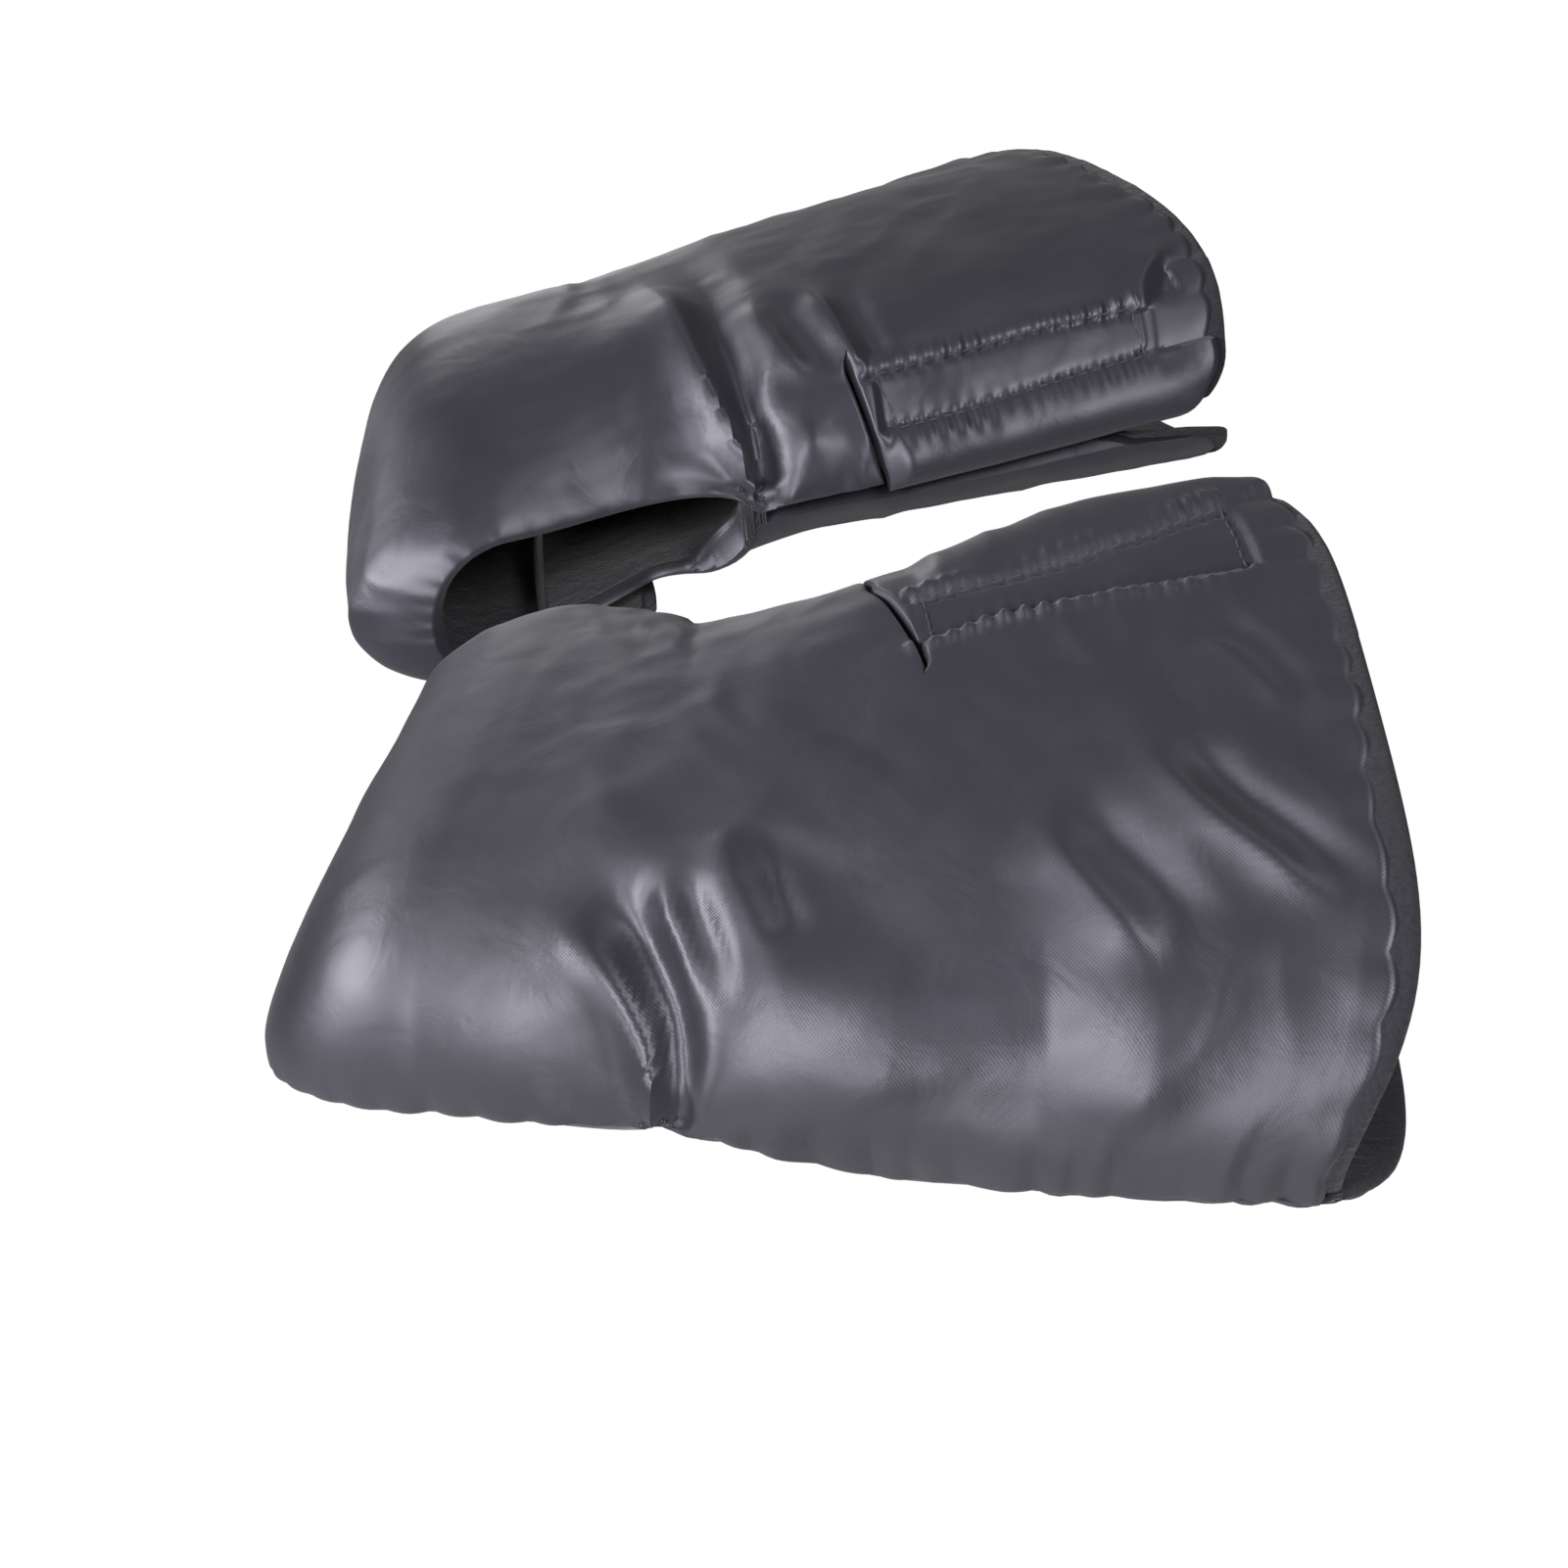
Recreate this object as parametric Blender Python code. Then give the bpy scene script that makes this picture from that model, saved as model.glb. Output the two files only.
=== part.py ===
# A pair of padded hand muffs for a pushchair's handlebar, built as separate sewn pieces.
# Metres, +Z up. The origin is on the bar's centre line, midway between the muffs.
# +X runs from the bar towards the user, +Y from the left-hand muff to the right-hand one.
import math

import bmesh
import bpy
import numpy as np
from mathutils import Vector

# Cloth, padding and tape
SHELL = 0.0008
LINING = 0.0010
LAYER_GAP = 0.0006
CROWN_PAD = 0.0105
EDGE_PAD = 0.0044
LAP_PAD = 0.0056
TAPE = 0.0011
SEAM_GAP = 0.0005
HINGE_GAP = 0.0006
HINGE_STANDOFF = 0.0004
SLOT_GAP = 0.0026
TACK_LENGTH = 0.010
TACK_WIDTH = 0.0025

# The bar that the muffs are made for, and the room that they leave round it
BAR_RADIUS = 0.0185
CROWN_ROOM = 0.006
NOSE_ROOM = 0.020
OUTER_NOSE_ROOM = 0.0195
INNER_LIP_ROOM = 0.0035
INNER_UNDER_ROOM = 0.0075
OUTER_UNDER_ROOM = 0.0085
RECESS_ROOM = 0.011
MUFF_GAP = 0.060
RIDE_HEIGHT = 0.007

# One muff's outer surface, measured from the middle of its bar passage
CUFF_REACH = 0.199
NOSE_REACH = BAR_RADIUS + NOSE_ROOM + CROWN_PAD
OUTER_NOSE_REACH = BAR_RADIUS + OUTER_NOSE_ROOM
STATIONS = (0.0, 0.045, 0.115, 0.205)
INNER_WIDTHS = (0.074, 0.071, 0.089, 0.099)
OUTER_WIDTHS = (0.072, 0.082, 0.097, 0.106)
HALF_HEIGHTS = (BAR_RADIUS + CROWN_ROOM + CROWN_PAD, 0.038, 0.039, 0.043)
INNER_CORNER_CUT = 0.028
OUTER_CORNER_CUT = 0.024
CORNER_POWER = 5
SQUARENESS = 0.85

# The lips of the bar holes, above and below the middle of the nose
INNER_LIP_RISE = BAR_RADIUS + INNER_LIP_ROOM
INNER_UNDER_DROP = BAR_RADIUS + INNER_UNDER_ROOM
OUTER_LIP_DROP = 0.006
OUTER_UNDER_DROP = BAR_RADIUS + OUTER_UNDER_ROOM
OUTER_RECESS = 2 * BAR_RADIUS + RECESS_ROOM

# Where rows of points lie, as shares of the length from the bar to the cuff
lap_shares = (0.03, 0.06, 0.11, 0.16, 0.19)
neck_shares = (0.10, 0.20, 0.31, 0.40)
slot_share = 0.49
sleeve_shares = (0.52, 0.61, 0.70, 0.80, 0.90, 1.0)
# The same round the nose, as shares of the half turn from its top to its underside
nose_shares = (0.17, 0.34, 0.50, 0.62)
nose_hinge_share = 0.74

# Angles round a cross-section in degrees: -90 is the outer edge, 0 the crown, 90 the inner edge
OUTER_ANGLE = -90
INNER_ANGLE = 90
COLUMN_STEP_ANGLE = 17
LAP_FADE_ANGLE = 22
NOSE_LINE_ANGLES = (-80, -50, -25, 0, 25, 50, 80)
# Across the closure flap, as shares of its width from the hinge to the free edge
flap_shares = (0.0, 0.09, 0.17, 0.36, 0.55, 0.78, 1.0)
SHARP_ANGLE = 50

# How the padding swells from a hem to the crown
crown_spread_share = 1.3
cuff_pad_share = 0.35
CUFF_FADE = 4 * CROWN_PAD

# How each muff lies on the bar. Cloth settles, so the two are not quite mirror images.
LAYS = {
    "left": {
        "side": -1,
        "hinge_angle": 8,
        "tail_angle": 62,
        "splay": 13.5,
        "roll": 11.5,
        "pitch": 8.5,
        "inner_push": 0.008,
        "outer_push": 0.030,
        "inner_sink": 0.007,
        "outer_sink": -0.004,
        "reach_change": -0.006,
        "skew": -0.007,
        "inner_tack_share": 0.19,
        "outer_tack_share": 0.225,
        "belly": 0.0,
    },
    "right": {
        "side": 1,
        "hinge_angle": 44,
        "tail_angle": 98,
        "splay": 11.5,
        "roll": 8.5,
        "pitch": 5.5,
        "inner_push": 0.027,
        "outer_push": 0.001,
        "inner_sink": 0.010,
        "outer_sink": 0.001,
        "reach_change": 0.007,
        "skew": 0.002,
        "inner_tack_share": 0.29,
        "outer_tack_share": 0.20,
        "belly": 0.005,
    },
}

# Main folds of the top sheet: start, end and strength, with places as shares of the sheet
FOLD_DEPTH = 0.0035
FOLD_WIDTH = 0.013
fold_shares = (
    ((0.02, -0.50), (0.22, -0.96), -1.0),
    ((0.12, -0.42), (0.30, -0.90), 0.9),
    ((0.40, -0.55), (0.55, -0.30), 0.7),
    ((0.62, -0.45), (0.80, -0.10), -0.7),
)

SHELL_COLOUR = (0.072, 0.069, 0.088)
WADDING_COLOUR = (0.80, 0.80, 0.78)
LINING_COLOUR = (0.045, 0.043, 0.050)
TAPE_COLOUR = (0.030, 0.030, 0.034)
THREAD_COLOUR = (0.055, 0.053, 0.064)


def clear_scene():
    for obj in list(bpy.data.objects):
        bpy.data.objects.remove(obj, do_unlink=True)


def make_material(name, colour, roughness):
    material = bpy.data.materials.new(name)
    material.use_nodes = True
    shader = material.node_tree.nodes["Principled BSDF"]
    shader.inputs["Base Color"].default_value = (*colour, 1.0)
    shader.inputs["Roughness"].default_value = roughness
    shader.inputs["Metallic"].default_value = 0.0
    return material


def signed_power(value, power):
    return np.sign(value) * np.abs(value) ** power


def ease(share):
    share = np.clip(share, 0.0, 1.0)
    return share * share * (3 - 2 * share)


def through(place, stations, values):
    """A smooth curve through the values at the stations, straight past the last one."""
    stations = np.array(stations)
    values = np.array(values)
    slopes = np.empty(len(values))
    steps = np.diff(values) / np.diff(stations)
    slopes[0], slopes[-1] = steps[0], steps[-1]
    slopes[1:-1] = (values[2:] - values[:-2]) / (stations[2:] - stations[:-2])
    i = np.clip(np.searchsorted(stations, place) - 1, 0, len(values) - 2)
    span = stations[i + 1] - stations[i]
    x = (place - stations[i]) / span
    inside = np.clip(x, 0.0, 1.0)
    low = (values[i] * (1 + 2 * inside) + slopes[i] * span * inside) * (1 - inside) ** 2
    high = (values[i + 1] * (3 - 2 * inside) - slopes[i + 1] * span * (1 - inside)) * inside**2
    return low + high + slopes[i + 1] * span * (x - inside)


def fold_height(share, across):
    """The main folds, as soft ridges and valleys along straight lines on the sheet."""
    height = 0.0 * across
    scale = np.array([CUFF_REACH, OUTER_WIDTHS[2]])
    for start, end, strength in fold_shares:
        run = (np.array(end) - np.array(start)) * scale
        reach = np.hypot(*run)
        forward = (share - start[0]) * scale[0]
        sideways = (across - start[1]) * scale[1]
        along = (forward * run[0] + sideways * run[1]) / reach**2
        beside = (forward * run[1] - sideways * run[0]) / reach
        middle = np.exp(-((2 * along - 1) ** 2))
        height = height + strength * FOLD_DEPTH * middle * np.exp(-((beside / FOLD_WIDTH) ** 2))
    return height


def behind_lap(share):
    """0 under the bar flap and 1 behind it, in the sleeve."""
    return ease((share - lap_shares[-1]) / (neck_shares[2] - lap_shares[-1]))


def padding(lay, angle, share, zone):
    """Full thickness of the wall: thick at the crown, thin at hems, seams and laps."""
    crown = ease(np.abs(np.cos(angle)) * crown_spread_share)
    to_cuff = ease((1 - share) * CUFF_REACH / CUFF_FADE)
    if zone == "top":
        swell = cuff_pad_share + (1 - cuff_pad_share) * to_cuff
        return EDGE_PAD + (CROWN_PAD - EDGE_PAD) * crown * swell
    swell = ease(1 - share / nose_hinge_share) if zone == "nose" else behind_lap(share) * to_cuff
    return EDGE_PAD + (LAP_PAD - EDGE_PAD) * crown + (CROWN_PAD - LAP_PAD) * crown * swell


def flap_padding(lay, angle, share, zone):
    return np.minimum(padding(lay, angle, share, zone), LAP_PAD)


def lap_depth(lay, angle, share, zone):
    """How far in the under panel lies where a flap and two tapes lap over it."""
    cover = LAP_PAD + 2 * (TAPE + LAYER_GAP) + LAYER_GAP
    fade_start = math.radians(180 - lay["tail_angle"] - LAP_FADE_ANGLE)
    back = behind_lap(share)
    side = back * ease((angle - fade_start) / math.radians(LAP_FADE_ANGLE))
    return cover * np.maximum(1 - back, side)


def sheet_point(lay, zone, share, angle, depth):
    """A point of the muff in its own frame: along the sleeve, across it and up from it."""
    across = signed_power(np.sin(angle), SQUARENESS)
    crown = signed_power(np.cos(angle), SQUARENESS)
    inner = (1 + across) / 2
    outer = (1 - across) / 2
    in_sheet = zone != "nose"
    start = -lay["inner_push"] * inner - lay["outer_push"] * outer
    reach = CUFF_REACH + lay["reach_change"] + lay["skew"] * across
    reach = reach - INNER_CORNER_CUT * np.clip(across, 0, 1) ** CORNER_POWER
    reach = reach - OUTER_CORNER_CUT * np.clip(-across, 0, 1) ** CORNER_POWER
    run = (reach - start) * share * in_sheet
    inner_width = through(run, STATIONS, INNER_WIDTHS) - depth
    outer_width = through(run, STATIONS, OUTER_WIDTHS) - depth
    full_height = through(run, STATIONS, HALF_HEIGHTS)
    half_height = full_height - depth

    # The lips stand apart over the bar holes and meet from the tacks to the cuff
    tack = lay["inner_tack_share"] * inner + lay["outer_tack_share"] * outer
    opening = np.sqrt(np.clip(1 - (share * in_sheet / tack) ** 2, 0, 1))
    squeeze = half_height / full_height
    shut = SEAM_GAP / 2
    top_edge = (INNER_LIP_RISE * inner - OUTER_LIP_DROP * outer) * squeeze
    top_edge = shut + (top_edge - shut) * opening
    under_edge = (INNER_UNDER_DROP * inner + OUTER_UNDER_DROP * outer) * squeeze
    under_edge = shut + (under_edge - shut) * opening

    upper = np.clip(crown, 0, 1)
    top = top_edge + (half_height - top_edge) * crown
    under = -under_edge - (half_height - under_edge) * crown
    recess = OUTER_RECESS * opening
    place = start + run
    if zone == "top":
        height = top + fold_height(share, across) * upper
    elif zone == "under":
        height = under
        outer_width = outer_width - recess
    else:
        turn = math.pi / 2 + math.pi * share
        nose = NOSE_REACH + (OUTER_NOSE_REACH - NOSE_REACH) * outer**3
        place = place + (nose - depth) * math.cos(turn)
        height = (top + under) / 2 + (top - under) / 2 * math.sin(turn)
        height = height + fold_height(0.0, across) * upper * max(math.sin(turn), 0)
        outer_width = outer_width - recess * ease(share)

    # The nose sinks onto the bar, and the sleeve behind it keeps its own level
    width = (inner_width + outer_width) / 2 + (inner_width - outer_width) / 2 * across
    settle = ease(2 * run / CUFF_REACH)
    sink = lay["inner_sink"] * inner + lay["outer_sink"] * outer
    height = height - sink * (1 - settle) + lay["belly"] * settle
    return np.stack([place, width * across - INNER_WIDTHS[0], height], axis=-1)


def muff_axes(lay):
    """The sleeve's direction, the way across it and its upward normal, for the left muff."""
    splay, roll, pitch = (math.radians(lay[key]) for key in ("splay", "roll", "pitch"))
    forward = math.cos(pitch)
    along = Vector((math.cos(splay) * forward, -math.sin(splay) * forward, math.sin(pitch)))
    level_across = Vector((math.sin(splay), math.cos(splay), 0))
    level_up = along.cross(level_across)
    across = level_across * math.cos(roll) + level_up * math.sin(roll)
    return along, across, along.cross(across)


def mirror(lay):
    """The left muff's frame serves both, so the right one is turned over at Y = 0."""
    return np.array([1, -lay["side"], 1])


def to_world(lay, points):
    along, across, up = (np.array(axis) for axis in muff_axes(lay))
    world = points[..., :1] * along + points[..., 1:2] * across + points[..., 2:] * up
    return (world + np.array([0, -MUFF_GAP / 2, RIDE_HEIGHT])) * mirror(lay)


def surface(lay, rows, angles, depth_of):
    """One face of a layer: a grid of points, a row for each place along the sheet."""
    angle = np.radians(np.array(angles, float))
    grid = [
        sheet_point(lay, zone, share, angle, depth_of(lay, angle, share, zone))
        for zone, share in rows
    ]
    return to_world(lay, np.array(grid))


def close_slab(outer, inner, cells):
    """A closed solid between two like grids, over the grid cells that are kept."""
    rows, columns = outer.shape[:2]
    kept = np.zeros((rows + 1, columns + 1), bool)
    kept[1:rows, 1:columns] = cells
    bm = bmesh.new()
    verts = {}

    def vert(layer, i, j):
        if (layer, i, j) not in verts:
            verts[layer, i, j] = bm.verts.new(Vector((outer, inner)[layer][i, j]))
        return verts[layer, i, j]

    def split_quad(corners):
        a, b, c, d = (vert(*corner) for corner in corners)
        bm.faces.new((a, b, c))
        bm.faces.new((a, c, d))

    for i in range(rows - 1):
        for j in range(columns - 1):
            if not kept[i + 1, j + 1]:
                continue
            square = ((i, j), (i + 1, j), (i + 1, j + 1), (i, j + 1))
            for layer in (0, 1):
                split_quad([(layer, *corner) for corner in square])
            beside = (kept[i + 1, j], kept[i + 2, j + 1], kept[i + 1, j + 2], kept[i, j + 1])
            for side, is_inside in enumerate(beside):
                if not is_inside:
                    near, far = square[side], square[(side + 1) % 4]
                    split_quad([(0, *near), (0, *far), (1, *far), (1, *near)])
    bmesh.ops.recalc_face_normals(bm, faces=bm.faces)
    return bm


def add_object(name, bm, material, collection, parent):
    """Puts a solid under its parent empty, whose place becomes the object's origin."""
    for vert in bm.verts:
        vert.co -= parent.matrix_world.translation
    mesh = bpy.data.meshes.new(name)
    bm.to_mesh(mesh)
    bm.free()
    mesh.shade_smooth()
    mesh.set_sharp_from_angle(angle=math.radians(SHARP_ANGLE))
    mesh.materials.append(material)
    obj = bpy.data.objects.new(name, mesh)
    collection.objects.link(obj)
    obj.parent = parent


def add_empty(name, place, collection, parent=None):
    empty = bpy.data.objects.new(name, None)
    empty.empty_display_size = TACK_LENGTH
    collection.objects.link(empty)
    empty.location = place
    if parent:
        empty.parent = parent
        empty.location = place - parent.location
    bpy.context.view_layer.update()
    return empty


def layer_depths(name, pad, lap):
    """The depths of a layer's two faces, below whatever laps over the sheet."""
    skin = SHELL + LAYER_GAP
    faces = {
        "shell": (lambda full: 0 * full, lambda full: 0 * full + SHELL),
        "wadding": (lambda full: 0 * full + skin, lambda full: full - LINING - LAYER_GAP),
        "lining": (lambda full: full - LINING, lambda full: full),
    }
    return [lambda *place, face=face: lap(*place) + face(pad(*place)) for face in faces[name]]


def no_lap(lay, angle, share, zone):
    return 0 * angle


def make_layers(title, lay, rows, angles, cells, pad, lap, materials, collection, parent):
    """The shell cloth, wadding and lining of one padded panel."""
    for name in ("shell", "wadding", "lining"):
        high, low = layer_depths(name, pad, lap)
        slab = close_slab(
            surface(lay, rows, angles, high), surface(lay, rows, angles, low), cells
        )
        add_object(f"{title}_{name}", slab, materials[name], collection, parent)


def spread(start, end):
    """Even steps from one angle to another, with both ends."""
    steps = math.ceil((end - start) / COLUMN_STEP_ANGLE)
    return [start + (end - start) * step / steps for step in range(steps + 1)]


def sheet_columns(lay):
    hinge = lay["hinge_angle"]
    return spread(OUTER_ANGLE, hinge) + spread(hinge, INNER_ANGLE)[1:]


def flap_columns(lay):
    width = lay["tail_angle"] - lay["hinge_angle"]
    return [lay["hinge_angle"] + width * share for share in flap_shares]


def under_columns(lay):
    """The sheet's own columns, and those of the tongue that runs up inside the closure flap."""
    tongue = [180 - angle for angle in flap_columns(lay)[:0:-1]]
    wrap = spread(INNER_ANGLE, tongue[0]) if tongue[0] > INNER_ANGLE else []
    return sorted(set(sheet_columns(lay) + wrap + tongue))


def all_cells(rows, angles):
    return np.ones((len(rows) - 1, len(angles) - 1), bool)


def hinge_gap_angle():
    """Half the hinge's gap, as an angle on a cross-section of the sleeve."""
    radius = (INNER_WIDTHS[2] + HALF_HEIGHTS[2]) / 2
    return math.degrees(HINGE_GAP / 2 / radius)


def hinge_gap_share():
    """Half the hinge's gap, as a share of the half turn round the nose."""
    return HINGE_GAP / 2 / (math.pi * NOSE_REACH)


def slot_gap_share():
    return SLOT_GAP / 2 / CUFF_REACH


def make_top_panel(prefix, lay, materials, collection, parent):
    """The sheet from the cuff over the bar, with the closure flap's part cut away."""
    angles = sheet_columns(lay)
    hinge = angles.index(lay["hinge_angle"])
    angles[hinge] -= hinge_gap_angle()
    sheet = sleeve_shares[::-1] + (slot_share - slot_gap_share(),) + neck_shares[::-1] + (0.0,)
    rows = [("top", share) for share in sheet]
    rows += [("nose", share) for share in nose_shares + (nose_hinge_share - hinge_gap_share(),)]
    cells = all_cells(rows, angles)
    cells[: len(sleeve_shares), hinge:] = False
    make_layers(
        f"{prefix}_top", lay, rows, angles, cells, padding, no_lap, materials, collection, parent
    )


def make_under_panel(prefix, lay, materials, collection, parent):
    """The under panel, with a tongue up inside the closure flap and a lap under the bar."""
    angles = under_columns(lay)
    front = lap_shares + neck_shares[2:]
    rows = [("under", share) for share in front + (slot_share,) + sleeve_shares]
    cells = all_cells(rows, angles)
    cells[: len(front), angles.index(INNER_ANGLE):] = False
    make_layers(
        f"{prefix}_under", lay, rows, angles, cells, padding, lap_depth, materials, collection, parent
    )


def straight_over(line, up, side):
    """A straight axis over a bowed line, turned so that a positive angle opens the flap."""
    direction = line[-1] - line[0]
    direction = direction / np.linalg.norm(direction)
    above = up - direction * (up @ direction)
    above = above / np.linalg.norm(above)
    rise = max((point - line[0]) @ above for point in line) + HINGE_STANDOFF
    middle = (line[0] + line[-1]) / 2 + above * rise
    return Vector(middle), Vector(direction) * -side


def closure_axis(lay):
    """The closure flap's hinge: along the sleeve, just clear of the sheet's outer face."""
    angle = np.radians(np.array([lay["hinge_angle"]], float))
    shares = (slot_share,) + sleeve_shares
    line = [sheet_point(lay, "top", share, angle, 0 * angle)[0] for share in shares]
    up = np.array(muff_axes(lay)[2]) * mirror(lay)
    return straight_over(to_world(lay, np.array(line)), up, lay["side"])


def bar_flap_axis(lay):
    """The bar flap's hinge: across the nose, just clear of its outer face."""
    angles = np.radians(np.array(NOSE_LINE_ANGLES, float))
    line = to_world(lay, sheet_point(lay, "nose", nose_hinge_share, angles, 0 * angles))
    along, _, up = (np.array(axis) for axis in muff_axes(lay))
    turn = math.pi / 2 + math.pi * nose_hinge_share
    out = (along * math.cos(turn) + up * math.sin(turn)) * mirror(lay)
    return straight_over(line, out, lay["side"])


def make_tapes(title, lay, rows, angles, materials, collection, flap, base):
    """Hook tape inside a flap and loop tape on the panel below it, face to face."""
    for step, (name, parent) in enumerate((("hook", flap), ("loop", base))):
        start = LAYER_GAP + step * (TAPE + LAYER_GAP)
        high = surface(lay, rows, angles, lambda *place: flap_padding(*place) + start)
        low = surface(lay, rows, angles, lambda *place: flap_padding(*place) + start + TAPE)
        slab = close_slab(high, low, all_cells(rows, angles))
        add_object(f"{title}_{name}_tape", slab, materials["tape"], collection, parent)


def make_closure_flap(prefix, lay, materials, collection, base):
    """The inner side's flap, from the slot to the cuff, with its tapes."""
    pivot, direction = closure_axis(lay)
    print(prefix, "closure hinge", pivot, direction)
    hinge = add_empty(f"{prefix}_closure_hinge", pivot, collection, base)
    angles = flap_columns(lay)
    angles[0] += hinge_gap_angle()
    rows = [("top", share) for share in (slot_share + slot_gap_share(),) + sleeve_shares]
    title = f"{prefix}_closure"
    make_layers(
        f"{title}_flap", lay, rows, angles, all_cells(rows, angles), flap_padding, no_lap,
        materials, collection, hinge
    )
    make_tapes(title, lay, rows[1:-1], angles[2:5], materials, collection, hinge, base)


def make_bar_flap(prefix, lay, materials, collection, base):
    """The free end of the wrap, which comes down before the bar and laps below it."""
    pivot, direction = bar_flap_axis(lay)
    print(prefix, "bar flap hinge", pivot, direction)
    hinge = add_empty(f"{prefix}_bar_flap_hinge", pivot, collection, base)
    start = nose_hinge_share + hinge_gap_share()
    rows = [("nose", start), ("nose", (start + 1) / 2), ("nose", 1.0)]
    rows += [("under", share) for share in lap_shares]
    angles = sheet_columns(lay)
    title = f"{prefix}_bar"
    make_layers(
        f"{title}_flap", lay, rows, angles, all_cells(rows, angles), flap_padding, no_lap,
        materials, collection, hinge
    )
    tape_rows = rows[-len(lap_shares) + 1 : -1]
    make_tapes(title, lay, tape_rows, angles[3:9], materials, collection, hinge, base)


def make_tack(prefix, lay, which, materials, collection, base):
    """A short bar-tack over the edges of both panels, where a bar hole ends."""
    out = 1 if which == "inner" else -1
    edge = np.array([out * math.pi / 2])
    seat = sheet_point(lay, "top", lay[f"{which}_tack_share"], edge, 0 * edge)[0]
    middle = seat + np.array([0, out * (TAPE / 2 + LAYER_GAP), 0])
    bm = bmesh.new()
    bmesh.ops.create_cube(bm, size=1.0)
    bmesh.ops.scale(bm, vec=(TACK_WIDTH, TAPE, TACK_LENGTH), verts=bm.verts)
    bmesh.ops.bevel(bm, geom=bm.edges, offset=TAPE / 4, segments=1, affect="EDGES")
    for vert in bm.verts:
        vert.co = Vector(to_world(lay, np.array(vert.co) + middle))
    bm.normal_update()
    bmesh.ops.recalc_face_normals(bm, faces=bm.faces)
    add_object(f"{prefix}_{which}_tack", bm, materials["thread"], collection, base)


def make_muff(prefix, lay, materials, collection):
    base_place = Vector((0, lay["side"] * MUFF_GAP / 2, RIDE_HEIGHT))
    base = add_empty(f"{prefix}_muff", base_place, collection)
    make_top_panel(prefix, lay, materials, collection, base)
    make_under_panel(prefix, lay, materials, collection, base)
    make_closure_flap(prefix, lay, materials, collection, base)
    make_bar_flap(prefix, lay, materials, collection, base)
    for which in ("inner", "outer"):
        make_tack(prefix, lay, which, materials, collection, base)


def main():
    clear_scene()
    collection = bpy.data.collections.new("stroller_hand_muff")
    bpy.context.scene.collection.children.link(collection)
    materials = {
        "shell": make_material("satin_nylon", SHELL_COLOUR, 0.42),
        "wadding": make_material("wadding", WADDING_COLOUR, 0.95),
        "lining": make_material("fleece", LINING_COLOUR, 0.95),
        "tape": make_material("hook_and_loop", TAPE_COLOUR, 0.80),
        "thread": make_material("thread", THREAD_COLOUR, 0.60),
    }
    for prefix, lay in LAYS.items():
        make_muff(prefix, lay, materials, collection)


main()
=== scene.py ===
import math

import bmesh
import bpy
import numpy as np
from mathutils import Matrix, Vector
from mathutils.bvhtree import BVHTree


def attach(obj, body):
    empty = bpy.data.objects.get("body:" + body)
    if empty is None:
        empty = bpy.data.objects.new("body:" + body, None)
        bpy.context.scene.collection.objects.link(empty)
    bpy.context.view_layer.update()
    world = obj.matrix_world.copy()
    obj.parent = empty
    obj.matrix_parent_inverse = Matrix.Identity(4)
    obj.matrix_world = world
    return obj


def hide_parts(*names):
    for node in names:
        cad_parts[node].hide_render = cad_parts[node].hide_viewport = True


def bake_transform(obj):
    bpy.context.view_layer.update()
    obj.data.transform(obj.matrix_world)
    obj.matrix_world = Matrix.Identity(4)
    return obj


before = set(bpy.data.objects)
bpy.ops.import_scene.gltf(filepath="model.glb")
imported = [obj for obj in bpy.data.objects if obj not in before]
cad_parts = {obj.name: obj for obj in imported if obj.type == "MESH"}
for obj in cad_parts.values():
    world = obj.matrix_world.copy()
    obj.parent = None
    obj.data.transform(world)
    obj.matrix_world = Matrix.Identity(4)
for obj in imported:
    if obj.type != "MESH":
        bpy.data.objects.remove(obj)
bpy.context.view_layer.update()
print("frame loaded,", len(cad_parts), "nodes")

# The cut of one muff, in metres. The same surface as the construction follows.
muffCut = {
    "muffGap": 0.060,
    "rideHeight": 0.007,
    "cuffReach": 0.199,
    "noseArc": 0.132,
    "stations": (0.0, 0.045, 0.115, 0.205),
    "innerWidths": (0.074, 0.071, 0.089, 0.099),
    "outerWidths": (0.072, 0.082, 0.097, 0.106),
    "halfHeights": (0.035, 0.038, 0.039, 0.043),
    "squareness": 0.85,
    "underDrop": (0.026, 0.027),
    "outerRecess": 0.048,
    "seamGap": 0.0005,
}
padding = {
    "crown": 0.0105,
    "edge": 0.0044,
    "lap": 0.0056,
    "tape": 0.0011,
    "layerGap": 0.0006,
    "lining": 0.0010,
    "hemRound": 0.0042,
    "seamRound": 0.0016,
    "liningInset": 0.0035,
    "satinShort": 0.0055,
    "scallop": 0.0016,
    "cornerRound": 0.015,
    "fullFall": 0.47,
}
# Places along the sleeve and round the nose, as shares, and angles in degrees
places = {
    "slot": 0.49,
    "slotGap": 0.0010,
    "noseHinge": 0.74,
    "lapStart": 0.03,
    "lapEnd": 0.19,
    "lapFade": 0.31,
    "barTape": (0.06, 0.16),
    "barTapeAngle": 40,
    "tongueAngle": 4.86,
}
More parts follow.
